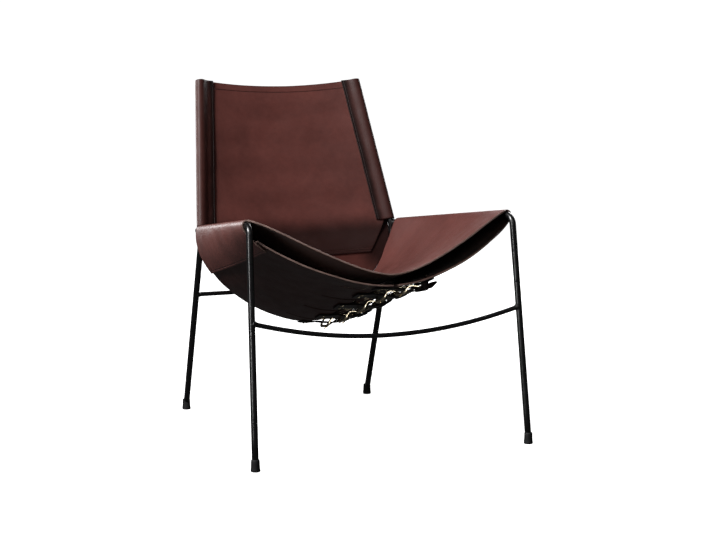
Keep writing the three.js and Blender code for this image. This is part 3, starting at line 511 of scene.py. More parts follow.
def right_belly_lattice():
    rows, columns = RIGHT_BELLY_GRID
    lattice = []
    for share in spread(0, 1, rows):
        rough = belly_section(seat_back(share, RIGHT_BELLY_START, BELLY_REAR_BULGE))
        shares = spread(belly_start(share), rough.at_across(RIGHT_BELLY_START), columns)
        lattice.append([belly_point(t, seat_back(share, rough.at(t)[0], BELLY_REAR_BULGE))
                        for t in shares])
    return lattice


def slit_half(across):
    """Half the width of a slit between two fingers, narrow and round at its root."""
    root = SLIT_ROOT_W / 2
    end = FINGER_ROOT - root
    if across <= end:
        return mix(SLIT_HALF, SLIT_OPEN_HALF, ease(end - across, 0, SLIT_OPENING))
    if across < FINGER_ROOT:
        return max(SLIT_HALF, math.sqrt(max(0.0, root ** 2 - (across - FINGER_ROOT) ** 2)))
    return mix(root, FINGER_GAP / 2, clamp((across - FINGER_ROOT) / (-STRAP_LAP - FINGER_ROOT)))


SLIT_ROWS = [(i + 1) * (FINGER_ROWS + 1) - 1 for i in range(STRAP_COUNT - 1)]


def finger_lines(across, reference):
    """Distances back of every line of the left belly: each finger's lines, edge to edge."""
    half = slit_half(across)
    front = seat_back(0, reference, BELLY_REAR_BULGE)
    rear = seat_back(1, reference, BELLY_REAR_BULGE)
    slits = [FIRST_STRAP + (i + 0.5) * STRAP_PITCH for i in range(STRAP_COUNT - 1)]
    starts = [front] + [slit + half for slit in slits]
    ends = [slit - half for slit in slits] + [rear]
    return [back for low, high in zip(starts, ends) for back in spread(low, high, FINGER_ROWS)]


def left_belly_lattice():
    """The left belly, worked out as a mirror image on the right: the slits run along its lines."""
    root_end = SLIT_ROOT_W / 2 - FINGER_ROOT
    inner = [root_end - step for step in ROOT_COLUMNS] + [-FINGER_ROOT, *FINGER_COLUMNS]
    front, rear = (seat_back(end, root_end, BELLY_REAR_BULGE) for end in (0, 1))
    lattice = []
    for row, fixed in enumerate(finger_lines(-root_end, root_end)):
        share = (fixed - front) / (rear - front)
        rough = belly_section(seat_back(share, root_end, BELLY_REAR_BULGE))
        points = []
        for t in spread(belly_start(share), rough.at_across(root_end), BELLY_COLUMNS)[:-1]:
            across = rough.at(t)[0]
            line = finger_lines(-across, root_end)[row]
            at = (line - front) / (rear - front)
            points.append(belly_point(t, seat_back(at, across, BELLY_REAR_BULGE)))
        for across in inner:
            back = finger_lines(-across, across)[row]
            points.append(belly_point(belly_section(back).at_across(across), back))
        lattice.append([mirrored(point, -1) for point in points])
    return lattice


def belly_height(across, back):
    section = belly_section(back)
    return section.at(section.at_across(abs(across)))[1] + LAY_GAP


# The back's surfaces

LEAN = (BACK_TOP - KNEE).cross(Vector((1, 0, 0))).normalized()
BACKWARD = -LEAN if LEAN.y < 0 else LEAN


def upright_at(height):
    return at_height(KNEE, BACK_TOP, height)


def back_point(height, across, behind=0.0):
    """A point of the back's middle surface, or of a layer behind it."""
    axis = upright_at(height)
    bow = BACK_BOW * (1 - min(1, (across / axis.x) ** 2))
    roll = math.sin(2 * math.pi * (height - BACK_ROLL_START) / BACK_ROLL_PITCH)
    bow -= BACK_ROLL * roll * (1 - min(1, (across / axis.x) ** 4))
    point = placed(across, axis.y, height) + BACKWARD * (bow + behind)
    return point + BACKWARD * ripple(point, BACK_RIPPLE)


def panel_lattice(rows, columns):
    lattice = []
    below = spread(BACK_SEAM_HEIGHT, BACK_SLEEVE_FOOT - BACK_EDGE_CLEAR, rows // 5)
    for height in below + spread(BACK_SLEEVE_FOOT, BACK_TOP_HEIGHT, rows - rows // 5):
        in_sleeve = upright_at(height).x - BACK_EDGE_CLEAR
        taper = (height - BACK_SEAM_HEIGHT) / (BACK_SLEEVE_FOOT - BACK_SEAM_HEIGHT)
        half = mix(BACK_SEAM_HALF, in_sleeve, taper) if height < BACK_SLEEVE_FOOT else in_sleeve
        sag = BACK_TOP_SAG * ease(height, BACK_TOP_HEIGHT - 4 * BACK_HEM, BACK_TOP_HEIGHT)
        lattice.append([back_point(height - sag * (1 - share ** 2), share * half)
                        for share in spread(-1, 1, columns)])
    return lattice


def sleeve_lattice(side, rows):
    """A strip folded round the upright, its two edges sewn to the panel's front and rear faces."""
    wrap = ROD_R + WRAP_GAP + BACK_T / 2
    seam_at = BACK_SLEEVE_W - wrap - BACK_T / 2
    layer = BACK_T + 2 * LAY_GAP
    leg = spread(seam_at, 0, 9)[:-1]
    depths = [mix(wrap, layer, ease(inward, 0, BACK_EDGE_CLEAR + 2 * BACK_T)) for inward in leg]
    path = [(inward, -depth) for inward, depth in zip(leg, depths)]
    path += [(-wrap * math.cos(angle), wrap * math.sin(angle))
             for angle in spread(-math.pi / 2, math.pi / 2, 12)]
    path += [(inward, depth) for inward, depth in zip(leg, depths)][::-1]
    lattice = []
    for height in spread(BACK_SLEEVE_FOOT, BACK_TOP_HEIGHT, rows):
        axis = upright_at(height)
        row = []
        for inward, depth in path:
            across = axis.x - inward
            share = ease(inward, 0, BACK_EDGE_CLEAR + BACK_T)
            point = placed(across, axis.y, height).lerp(back_point(height, across), share)
            row.append(mirrored(point + BACKWARD * depth, side))
        lattice.append(row)
    return lattice


def apron_lattice(rows, columns):
    """The second layer behind the back's foot, cut to the seat's curve along its lower edge."""
    top = BACK_SLEEVE_FOOT - 2 * LAY_GAP
    half = upright_at(top).x - ROD_R - APRON_ROD_GAP
    layer = BACK_T + 2 * LAY_GAP
    lattice = []
    for angle in spread(-math.pi / 2, math.pi / 2, columns):
        across = half * math.sin(angle)
        outward = math.copysign(math.sin(angle) ** 8, angle)

        def clear(height):
            """Whether the apron is above the seat's leather, or past its rear edge."""
            point = back_point(height, across, layer)
            back = point.y + FEET_TO_ORIGIN
            section = seat_section(back)
            t = section.at_across(abs(across))
            room = (point.z - section.at(t)[1]) * abs(section.slope(t)[0]) - LEATHER / 2
            past = back - seat_back(1, across, SEAT_REAR_BULGE) - layer
            return max(room - 3 * LAY_GAP, past) > 0

        foot = halved(SEAT_MID[1] - LEATHER, top, clear, 22)[1] + BACK_T / 2
        column = []
        for height in spread(foot, top - BACK_T / 2, rows - 1) + [top]:
            tucked = ease(height, *APRON_TUCK_BAND)
            flare = mix(mix(APRON_FLARE, APRON_ROD_GAP, ease(height, *APRON_FLARE_BAND)),
                        APRON_TUCK, tucked)
            ear = tucked * abs(outward)
            column.append(back_point(height + APRON_EAR * ear, across + flare * outward,
                                     layer + APRON_SET_BACK * ear))
        lattice.append(column)
    return turned(lattice)


# Straps

def buckle_frame(back):
    """The turned frame of one buckle on the belly: x along the strap, y across it, z into the seat."""
    step = 0.001
    rise = belly_height(BUCKLE_MID + step, back) - belly_height(BUCKLE_MID - step, back)
    fall = belly_height(BUCKLE_MID, back + step) - belly_height(BUCKLE_MID, back - step)
    along = Vector((2 * step, 0, rise)).normalized()
    up = along.cross(Vector((0, 2 * step, fall))).normalized()
    spot = placed(BUCKLE_MID, back, belly_height(BUCKLE_MID, back))
    return Matrix.Translation(spot) @ facing(along, up)


def strap_place(number):
    return buckle_frame(FIRST_STRAP + (number - 1) * STRAP_PITCH)


def face_over(place, along, across):
    """How high the belly's outer face stands over the frame's flat at a point of it."""
    height = 0.0
    for _ in range(4):
        point = place @ Vector((along, across, height))
        height -= point.z - belly_height(point.x, point.y + FEET_TO_ORIGIN)
    return height


def strap_height(place, along, across):
    """Height of the strap's inner face: under the finger, out over the heel bar, and back."""
    face = face_over(place, along, across)
    down = ease(along, -2 * BUCKLE_HALF_L, BUCKLE_HALF_L - CHAPE_FOLD_R - CHAPE_T / 2)
    back = ease(along, RISE_END, CHAPE_END)
    under = face - BELLY_RELIEF
    return mix(mix(under, -STRAP_HEEL_DEPTH - LAY_GAP, down), under - STRAP_TAIL_DEPTH, back)


def strap_lattice(place):
    start, end = -STRAP_LAP - BUCKLE_MID, STRAP_TAIL - BUCKLE_MID
    half = STRAP_W / 2
    round_start = end - half / 2
    stops = [start]
    for stop, steps in zip((*PRONG_HOLE, round_start), STRAP_STEPS):
        stops += spread(stops[-1], stop, steps)[1:]
    stops += [mix(round_start, end, s) for s in (0.35, 0.62, 0.82, 0.94, 1.0)]
    hole = PRONG_HOLE_W / 2 / half
    lattice = []
    for along in stops:
        narrow = clamp((along - round_start) / (end - round_start))
        wide = half * math.sqrt(max(0.03, 1 - narrow ** 2 * 0.97))
        row = []
        for across in (s * wide for s in (-1, -0.8, -0.45, -hole, hole, 0.45, 0.8, 1)):
            height = strap_height(place, along, across) - STRAP_T / 2
            row.append(place @ Vector((along, across, height)))
        lattice.append(row)
    return lattice


def chape_lattice(place):
    """A band folded round the heel bar, both its ends riveted under the right belly leather, and the
    rows of its slot."""
    half = CHAPE_W / 2
    inner_depth = BELLY_RELIEF + CHAPE_T / 2
    outer_depth = inner_depth + CHAPE_T + LAY_GAP
    slot = CHAPE_SLOT_W / 2 / half
    places_across = [s * half for s in (-1, -0.82, -0.5, -slot, slot, 0.5, 0.82, 1)]
    reach = BUCKLE_HALF_L + CHAPE_SLOT_L
    legs = spread(CHAPE_END, reach, 10) + spread(reach, BUCKLE_HALF_L, SLOT_STEPS)[1:]

    def leg_row(along, depth, bar_depth):
        settled = ease(along, RISE_START, RISE_END)
        under = mix(bar_depth, depth, settled)
        return [place @ Vector((along, across, face_over(place, along, across) * settled - under))
                for across in places_across]

    inner = [leg_row(along, inner_depth, CHAPE_LEG_DEPTH) for along in legs]
    outer = [leg_row(along, outer_depth, HEEL_BAR_DEPTH + CHAPE_FOLD_R) for along in reversed(legs)]
    fold = []
    for angle in spread(math.pi / 2, 3 * math.pi / 2, 10)[1:-1]:
        x = BUCKLE_HALF_L + CHAPE_FOLD_R * math.cos(angle)
        z = CHAPE_FOLD_R * math.sin(angle) - HEEL_BAR_DEPTH
        fold.append([place @ Vector((x, across, z)) for across in places_across])
    slot_rows = range(len(legs) - 1 - SLOT_STEPS, len(legs) + len(fold) + SLOT_STEPS)
    return inner + fold + outer, slot_rows


def keeper_line(place):
    """The loop that a keeper follows round the chape and the strap's tail, as (across, height) pairs."""
    tail = min(strap_height(place, KEEPER_MID + end * KEEPER_L / 2, 0) for end in (-1, 1))
    top = CHAPE_T / 2 + KEEPER_GAP - CHAPE_LEG_DEPTH + KEEPER_T / 2
    deep = tail - STRAP_T - KEEPER_GAP - KEEPER_T / 2
    half = STRAP_W / 2 + KEEPER_GAP + KEEPER_T / 2
    return rounded_box((-half, deep), (half, top), KEEPER_CORNER_R, 3)


def buckle_line():
    """The wavy outline of a buckle's frame, with the rod's radius at each station."""
    stations, radii = [], []
    for x, y in rounded_box((-BUCKLE_HALF_L, -BUCKLE_HALF_W), (BUCKLE_HALF_L, BUCKLE_HALF_W),
                            BUCKLE_CORNER_R, 6, (0.2, 0.4, 0.6, 0.8)):
        share = (x + BUCKLE_HALF_L) / (2 * BUCKLE_HALF_L)
        depth = mix(FRONT_BAR_DEPTH, HEEL_BAR_DEPTH, share)
        depth -= BUCKLE_WAVE * math.sin(2 * math.pi * share) + BUCKLE_CAMBER * math.sin(math.pi * share)
        stations.append(Vector((x, y, -depth)))
        slim = mix(FRONT_BAR_R, SIDE_BAR_R, ease(share, 0, 0.35))
        radii.append(mix(slim, HEEL_BAR_R, ease(share, 0.85, 1)))
    return stations, radii


# Meshes

def plain_object(name, bm, materials):
    """Makes an object from a bmesh, which is used up."""
    mesh = bpy.data.meshes.new(name)
    bm.to_mesh(mesh)
    bm.free()
    for material in materials:
        mesh.materials.append(material)
    piece = bpy.data.objects.new(name, mesh)
    bpy.context.scene.collection.objects.link(piece)
    return piece


def chair_piece(name, bm, materials, node=None, body="root"):
    """Makes a smooth piece of the chair, rides it on its body and hides the model's node it stands for."""
    piece = plain_object(name, bm, materials)
    piece.data.polygons.foreach_set("use_smooth", [True] * len(piece.data.polygons))
    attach(piece, body)
    if node:
        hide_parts(node)
    return piece


def lattice_mesh(lattice, cuts=()):
    """A grid whose crossings are moved to the lattice's points. Its Leather map is metres along the
    hide, and its Rim map is how far a point lies from the nearer edge, across and along. A cut is the
    rows and the columns of the squares that are left out."""
    rows, columns = len(lattice) - 1, len(lattice[0]) - 1
    across = [walked(row) for row in lattice]
    along = walked([row[columns // 2] for row in lattice])
    bm = bmesh.new()
    hide = bm.loops.layers.uv.new("Leather")
    rim = bm.loops.layers.uv.new("Rim")
    bmesh.ops.create_grid(bm, x_segments=columns, y_segments=rows, size=0.5)
    index = {v: (round((v.co.y + 0.5) * rows), round((v.co.x + 0.5) * columns)) for v in bm.verts}
    for vert, (r, c) in index.items():
        vert.co = lattice[r][c]
        wide, far = across[r][c], along[r]
        for loop in vert.link_loops:
            loop[hide].uv = (wide - across[r][-1] / 2, far)
            loop[rim].uv = (min(wide, across[r][-1] - wide), min(far, along[-1] - far))
    gone = []
    for face in bm.faces:
        row, column = (min(places) for places in zip(*(index[v] for v in face.verts)))
        if any(row in cut_rows and column in cut_columns for cut_rows, cut_columns in cuts):
            gone.append(face)
    bmesh.ops.delete(bm, geom=gone, context="FACES")
    return bm


def give_thickness(piece, thickness, edge, flesh=1, rim=2):
    """Leather has a wall, rounded cut edges and a smooth surface."""
    wall = piece.modifiers.new("Wall", "SOLIDIFY")
    wall.thickness = thickness
    wall.offset = 0
    wall.use_even_offset = True
    wall.use_quality_normals = True
    wall.material_offset = flesh
    wall.material_offset_rim = rim
    round_edge = piece.modifiers.new("Cut edge", "BEVEL")
    round_edge.width = edge
    round_edge.segments = 2
    round_edge.limit_method = "ANGLE"
    round_edge.angle_limit = math.radians(50)
    fine = piece.modifiers.new("Surface", "SUBSURF")
    fine.levels = fine.render_levels = 1


def leather_piece(name, lattice, thickness, node, looks, cuts=(), flip=False,
                  edge=CUT_EDGE):
    """A leather on a lattice, with looks for its outside, its inside and its cut edge."""
    bm = lattice_mesh(lattice, cuts)
    if flip:
        bmesh.ops.reverse_faces(bm, faces=bm.faces)
    piece = chair_piece(name, bm, looks, node)
    give_thickness(piece, thickness, edge)
    return piece


def frames_along(stations):
    """A matrix for every station of a path, turned as little as possible from one to the next."""
    found, turn, last = [], None, None
    for before, here, after in neighbours(stations):
        way = (after - before).normalized()
        turn = way.to_track_quat("Z", "Y") if last is None else last.rotation_difference(way) @ turn
        last = way
        found.append(Matrix.Translation(here) @ turn.to_matrix().to_4x4())
    return found


def sweep(bm, stations, radii, sides, closed=False):
    """Extrudes a circle from station to station, with its own radius at each."""
    if closed:
        places = frames_along([stations[-1], *stations, stations[0]])[1:-1]
    else:
        places = frames_along(stations)
    verts = bmesh.ops.create_circle(bm, cap_ends=not closed, segments=sides, radius=1.0)["verts"]
    bmesh.ops.transform(bm, matrix=places[0] @ Matrix.Scale(radii[0], 4), verts=verts)
    first = edges = list(dict.fromkeys(e for v in verts for e in v.link_edges))
    for i in range(1, len(stations)):
        grown = bmesh.ops.extrude_edge_only(bm, edges=edges)["geom"]
        verts = [g for g in grown if isinstance(g, bmesh.types.BMVert)]
        edges = [g for g in grown if isinstance(g, bmesh.types.BMEdge)
                 and all(v in verts for v in g.verts)]
        step = places[i] @ Matrix.Scale(radii[i] / radii[i - 1], 4) @ places[i - 1].inverted()
        bmesh.ops.transform(bm, matrix=step, verts=verts)
    if closed:
        bmesh.ops.bridge_loops(bm, edges=edges + first)
    else:
        bmesh.ops.contextual_create(bm, geom=edges)
    bmesh.ops.recalc_face_normals(bm, faces=bm.faces)


def split(start, end, steps):
    return [start.lerp(end, i / steps) for i in range(steps)]


def bent(start, corner, end, radius, steps=14):
    """Stations of a rod with one round bend."""
    travel, leaving = (corner - start).normalized(), (end - corner).normalized()
    turn = travel.angle(leaving)
    inward = (leaving - travel * leaving.dot(travel)).normalized()
    begin = corner - travel * radius * math.tan(turn / 2)
    arc = [begin + travel * radius * math.sin(angle) + inward * radius * (1 - math.cos(angle))
           for angle in spread(0, turn, steps)]
    return [*split(start, arc[0], 8), *arc, *split(arc[-1], end, 12)[1:], end]


def lathe(bm, profile, matrix, steps):
    """Adds a profile of (radius, height) pairs, spun round its axis, closed at its poles and placed."""
    shape = bmesh.new()
    verts = [shape.verts.new((r, 0.0, h)) for r, h in profile]
    edges = [shape.edges.new(pair) for pair in zip(verts, verts[1:])]
    bmesh.ops.spin(shape, geom=verts + edges, cent=(0, 0, 0), axis=(0, 0, 1), dvec=(0, 0, 0),
                   angle=2 * math.pi, steps=steps, use_merge=True, use_duplicate=False)
    bmesh.ops.remove_doubles(shape, verts=shape.verts, dist=1e-6)
    bmesh.ops.recalc_face_normals(shape, faces=shape.faces)
    bmesh.ops.transform(shape, matrix=matrix, verts=shape.verts)
    holder = bpy.data.meshes.new("shape")
    shape.to_mesh(holder)
    shape.free()
    bm.from_mesh(holder)
    bpy.data.meshes.remove(holder)


def walk_to(line, distance):
    """Where a distance along a line ends: the number of the stretch, and how far into it."""
    for i, (a, b) in enumerate(zip(line, line[1:])):
        stretch = (b - a).length
        if stretch >= distance or i == len(line) - 2:
            return i, distance
        distance -= stretch


def place_stitches(bm, line, ups):
    """Lays one thread stitch after another along a line of points."""
    length = length_of(line)
    count = max(2, int(length / STITCH_PITCH))
    size = Matrix.Diagonal((STITCH_L / 2, STITCH_R, STITCH_R, 1.0)) @ Matrix.Rotation(math.pi / 2, 4, "Y")
    for n in range(count):
        i, rest = walk_to(line, (n + 0.5) * length / count)
        step = line[i + 1] - line[i]
        share = rest / step.length
        way = step.normalized()
        up = ups[i].lerp(ups[i + 1], share)
        up = (up - way * up.dot(way)).normalized()
        spot = Matrix.Translation(line[i].lerp(line[i + 1], share) + up * STITCH_R * STITCH_LIFT)
        turn = facing(way, up) @ Matrix.Rotation(STITCH_SLANT, 4, "Z")
        bmesh.ops.create_uvsphere(bm, u_segments=6, v_segments=4, radius=1.0, matrix=spot @ turn @ size)


def seam_line(rows, distance, lift, from_end=False):
    """Points at one distance from the start or end of every row of a lattice, lifted off its face, and
    the face's way up at each."""
    line, ups = [], []
    for before, row, after in neighbours(rows):
        walk = row[::-1] if from_end else row
        i, rest = walk_to(walk, distance)
        step = walk[i + 1] - walk[i]
        at = len(row) - 1 - i if from_end else i
        across = -step if from_end else step
        up = across.cross(after[at] - before[at]).normalized()
        line.append(walk[i] + step.normalized() * rest + up * lift)
        ups.append(up * math.copysign(1, lift))
    return line, ups


def add_sheet(name, lattice, thickness, node, looks, seams=(), thread=None, cuts=(),
              flip=True):
    """A soft leather sheet with its stitches, which are made where there are seams."""
    piece = leather_piece(name, lattice, thickness, node, looks, cuts=cuts, flip=flip)
    if seams:
        bm = bmesh.new()
        for line, ups in seams:
            place_stitches(bm, line, ups)
        chair_piece(thread, bm, [LOOKS["thread"]])


# Finishes

class Finish:
    """A material with short ways to add nodes and join them."""

    def __init__(self, name, **sockets):
        self.material = bpy.data.materials.new(name)
        self.material.use_nodes = True
        self.tree = self.material.node_tree
        self.shader = self.tree.nodes["Principled BSDF"]
        for socket, value in sockets.items():
            self.shader.inputs[socket.replace("_", " ")].default_value = value

    def join(self, node, key, value):
        """Links a socket to a node's input, or writes a value there."""
        socket = node.inputs[key]
        if isinstance(value, bpy.types.NodeSocket):
            self.tree.links.new(value, socket)
        else:
            socket.default_value = (*value, 1.0) if socket.type == "RGBA" else value

    def node(self, kind, inputs=None, **settings):
        node = self.tree.nodes.new("ShaderNode" + kind)
        for key, value in settings.items():
            setattr(node, key, value)
        for key, value in (inputs or {}).items():
            self.join(node, key, value)
        return node

    def place(self):
        return self.node("TexCoord").outputs["Object"]

    def uv(self, name):
        return self.node("UVMap", uv_map=name).outputs[0]

    def sum(self, operation, a, b=0.0):
        return self.node("Math", {0: a, 1: b}, operation=operation).outputs[0]

    def noise(self, vector, scale, detail=3.0, roughness=0.5, distortion=0.0):
        made = self.node("TexNoise", {"Vector": vector, "Scale": scale, "Detail": detail,
                                      "Roughness": roughness, "Distortion": distortion})
        return made.outputs[0]

    def both(self, first, second, share):
        """Two values added, with a share of the second and the rest of the first."""
        return self.sum("ADD", self.sum("MULTIPLY", first, 1 - share), self.sum("MULTIPLY", second, share))

    def tones(self, value, colour, *stops):
        """A ramp through lighter and darker shares of one colour."""
        node = self.node("ValToRGB", {0: value})
        elements = node.color_ramp.elements
        while len(elements) < len(stops):
            elements.new(0.5)
        for element, (place, share) in zip(elements, stops):
            element.position = place
            element.color = (*shade(colour, share), 1.0)
        return node.outputs[0]

    def range(self, value, low, high, to_low, to_high, smooth=False):
        kind = "SMOOTHSTEP" if smooth else "LINEAR"
        return self.node("MapRange", {0: value, 1: low, 2: high, 3: to_low, 4: to_high},
                         interpolation_type=kind).outputs[0]

    def blend(self, share, first, second):
        return self.node("Mix", {0: share, 6: first, 7: second}, data_type="RGBA").outputs[2]

    def bump(self, height, strength, distance, under=None):
        inputs = {"Strength": strength, "Distance": distance, "Height": height}
        if under is not None:
            inputs["Normal"] = under
        return self.node("Bump", inputs).outputs[0]

    def done(self, base, rough, relief=None):
        """Joins colour, roughness and relief to the shader, and gives the material."""
        for key, value in (("Base Color", base), ("Roughness", rough), ("Normal", relief)):
            if value is not None:
                self.join(self.shader, key, value)
        return self.material


def shade(colour, share):
    return tuple(clamp(c * share) for c in colour)


def leather_look(name, colour, seams=(), gloss=0.40, burnish=0.005, painted_shade_foot=0.0, painted_shade_sides=0.0,
                 shine=0.5):
    """Vegetable-tanned hide: cloudy colour, fine pores, darker burnished borders and sewn grooves.
    The dark foot and the dark sides are painted shade: they darken the hide over those reaches from its
    foot and from its sides."""
    look = Finish(name, Specular_IOR_Level=shine, Coat_Weight=shine * 0.3, Coat_Roughness=0.24)
    hide = look.uv("Leather")
    from_side, from_end = look.node("SeparateXYZ", {0: look.uv("Rim")}).outputs[:2]
    up_hide = look.node("SeparateXYZ", {0: hide}).outputs[1]
    cloud = look.noise(hide, 7.0, 4.0, 0.55, 0.6)
    fleck = look.noise(hide, 70.0, 5.0, 0.62)
    base = look.tones(look.both(cloud, fleck, 0.28), colour, (0.30, 0.696), (0.50, 1.0), (0.70, 1.32))
    pore = look.node("TexVoronoi", {"Vector": hide, "Scale": 720.0, "Randomness": 1.0},
                     feature="DISTANCE_TO_EDGE").outputs[0]
    pore = look.range(pore, 0.0, 0.20, 0.0, 1.0, True)
    base = look.blend(look.range(pore, 0.0, 1.0, 0.30, 0.0), base, shade(colour, 0.45))
    near = look.sum("MINIMUM", from_side, from_end)
    worn = look.sum("MULTIPLY", look.noise(hide, 38.0, 2.0), burnish * 1.4)
    border = look.range(look.sum("ADD", near, worn), burnish * 0.5, burnish * 1.8, 0.75, 0.0, True)
    base = look.blend(border, base, shade(colour, 0.40))
    # Painted shade: the colour darkens towards the foot and towards the sides.
    for reach, line in ((painted_shade_foot, up_hide), (painted_shade_sides, from_side)):
        if reach:
            painted_shade_share = look.sum("ADD", line, look.sum("MULTIPLY", cloud, 0.02))
            painted_shade_share = look.range(painted_shade_share, reach * 0.70, reach * 1.30, 0.92, 0.0, True)
            base = look.blend(painted_shade_share, base, shade(colour, 0.12))
    relief = look.bump(look.noise(hide, 55.0, 6.0, 0.6, 0.4), 0.30, 0.0006)
    relief = look.bump(pore, 0.34, 0.00016, relief)
    grooves = 1.0
    for source, seam in seams:
        off = look.sum("ABSOLUTE", look.sum("SUBTRACT", from_side if source == "side" else up_hide, seam))
        grooves = look.sum("MULTIPLY", look.range(off, 0.0002, 0.0017, 0.0, 1.0, True), grooves)
    if seams:
        base = look.blend(look.range(grooves, 0.0, 1.0, 0.55, 0.0), base, shade(colour, 0.30))
        relief = look.bump(grooves, 0.9, 0.0008, relief)
    rough = look.range(look.noise(hide, 24.0, 4.0, 0.6), 0.3, 0.7, gloss - 0.05, gloss + 0.12)
    return look.done(base, rough, relief)


def flesh_look(name, colour):
    """The inner side of the hide: matt, fibrous and a little lighter."""
    look = Finish(name, Specular_IOR_Level=0.25, Sheen_Weight=0.12, Sheen_Roughness=0.5)
    hide = look.uv("Leather")
    fibre = look.noise(hide, 260.0, 6.0, 0.7, 1.2)
    tone = look.both(look.noise(hide, 9.0, 3.0), fibre, 0.5)
    return look.done(look.tones(tone, colour, (0.32, 0.62), (0.52, 1.0), (0.70, 1.35)),
                     look.range(fibre, 0.3, 0.7, 0.72, 0.92), look.bump(fibre, 0.5, 0.0005))


def cut_look(name, colour):
    """A cut edge: pale fibres under a thin wax burnish, in faint layers."""
    look = Finish(name, Specular_IOR_Level=0.45)
    here = look.place()
    layers = look.noise(here, 900.0, 3.0, 0.6)
    wear = look.noise(here, 45.0, 3.0)
    tone = look.both(layers, wear, 0.55)
    return look.done(look.tones(tone, colour, (0.35, 0.60), (0.52, 1.0), (0.68, 1.30)),
                     look.range(wear, 0.3, 0.7, 0.34, 0.55), look.bump(layers, 0.35, 0.0003))


def coated_look(name, colour, roughness):
    """Black powder coat: a fine orange peel, and rub marks that change its tone and gloss a little."""
    look = Finish(name, Metallic=0.0, Specular_IOR_Level=0.55, Coat_Weight=0.6, Coat_Roughness=0.08)
    here = look.place()
    peel = look.noise(here, 620.0, 2.0, 0.5)
    rub = look.noise(here, 28.0, 4.0, 0.65)
    return look.done(look.tones(rub, colour, (0.35, 0.8), (0.55, 1.0), (0.75, 1.5)),
                     look.range(rub, 0.3, 0.7, roughness - 0.06, roughness + 0.09),
                     look.bump(peel, 0.22, 0.00025))


def moulded_look(name, colour):
    """Moulded rubber foot: matt, finely pitted and scuffed low down."""
    look = Finish(name, Specular_IOR_Level=0.4)
    here = look.place()
    height = look.node("SeparateXYZ", {0: here}).outputs[2]
    scuff = look.sum("MULTIPLY", look.range(height, 0.0, 0.008, 1.0, 0.0),
                     look.range(look.noise(here, 220.0, 4.0, 0.7), 0.45, 0.65, 0.0, 1.0))
    return look.done(look.blend(scuff, colour, shade(colour, 3.2)),
                     look.range(scuff, 0.0, 1.0, 0.55, 0.80),
                     look.bump(look.noise(here, 1100.0, 2.0), 0.3, 0.0002))


def brass_look(name, colour, roughness):
    """Cast brass: soft casting waves, fine scratches and brown tarnish in patches."""
    look = Finish(name, Metallic=1.0)
    here = look.place()
    cast = look.noise(here, 150.0, 4.0, 0.55)
    stretched = look.node("Mapping", {"Vector": here, "Scale": (60.0, 60.0, 1600.0)}).outputs[0]
    scratch = look.noise(stretched, 1.0, 3.0)
    tarnish = look.range(look.noise(here, 90.0, 5.0, 0.65), 0.50, 0.72, 0.0, 0.55, True)
    rough = look.sum("ADD", look.range(tarnish, 0.0, 0.6, roughness, roughness + 0.22),
                     look.sum("MULTIPLY", scratch, 0.08))
    return look.done(look.blend(tarnish, colour, shade(colour, 0.42)), rough,
                     look.bump(scratch, 0.10, 0.0002, look.bump(cast, 0.25, 0.0004)))


def thread_look(name, colour):
    """Waxed thread with a twist."""
    look = Finish(name, Specular_IOR_Level=0.4)
    twist = look.node("TexWave", {"Vector": look.place(), "Scale": 900.0, "Distortion": 2.0},
                      bands_direction="DIAGONAL").outputs["Fac"]
    return look.done(look.tones(twist, colour, (0.2, 0.5), (0.8, 1.0)),
                     look.range(twist, 0.0, 1.0, 0.45, 0.6), look.bump(twist, 0.4, 0.0002))


LOOKS = {}


def looks_for(settings):
    """The shared finishes, made once from the colours of the settings."""
    if not LOOKS:
        leather, straps, rods = settings.leather, settings.straps, settings.rods
        LOOKS.update(
            grain=leather_look("Oxblood saddle leather", leather.colour),
            flesh=flesh_look("Leather flesh side", leather.flesh_colour),
            cut=cut_look("Leather cut edge", leather.edge_colour),
            dark_cut=cut_look("Burnished cut edge", shade(leather.colour, 0.25)),
            strap=leather_look("Dark strap leather", straps.colour, gloss=0.36, burnish=0.002),
            strap_cut=cut_look("Strap cut edge", shade(straps.colour, 0.9)),
            thread=thread_look("Waxed thread", leather.thread_colour),
            rod=coated_look("Black powder coat", rods.colour, rods.roughness),
            foot=moulded_look("Moulded foot rubber", rods.foot_colour),
            brass=brass_look("Cast brass", straps.brass_colour, straps.brass_roughness))
    return LOOKS


# Settings

def colour_setting(name, description, default):
    return FloatVectorProperty(name=name, description=description, default=default, size=3, min=0, max=1,
                               subtype="COLOR")


def share_setting(name, description, default):
    return FloatProperty(name=name, description=description, default=default, min=0.05, max=0.9,
                         subtype="FACTOR")


def length_setting(name, description, default):
    return FloatProperty(name=name, description=description, default=default, min=default / 2,
                         max=default * 2, subtype="DISTANCE", unit="LENGTH")


class RodSettings(bpy.types.PropertyGroup):
    radius: length_setting("Rod radius", "Radius of the bent rods", ROD_R)
    colour: colour_setting("Powder coat", "Colour of the coated rods", (0.0035, 0.0035, 0.0038))
    roughness: share_setting("Coat roughness", "How matt the powder coat is", 0.30)
    foot_colour: colour_setting("Foot rubber", "Colour of the rubber feet", (0.012, 0.012, 0.013))


class LeatherSettings(bpy.types.PropertyGroup):
    thickness: length_setting("Leather thickness", "Wall of the seat and belly leathers", LEATHER)
    colour: colour_setting("Grain colour", "Colour of the hide's outer side", (0.132, 0.041, 0.034))
    flesh_colour: colour_setting("Flesh colour", "Colour of the hide's inner side", (0.10, 0.036, 0.022))
    edge_colour: colour_setting("Edge colour", "Colour of the cut edges", (0.21, 0.135, 0.115))
    thread_colour: colour_setting("Thread colour", "Colour of the sewing thread", (0.035, 0.012, 0.009))


class StrapSettings(bpy.types.PropertyGroup):
    colour: colour_setting("Strap colour", "Colour of straps, chapes and keepers", (0.016, 0.009, 0.008))
    brass_colour: colour_setting("Brass colour", "Colour of buckles and rivets", (0.90, 0.78, 0.55))
    brass_roughness: share_setting("Brass roughness", "How matt the brass is", 0.20)


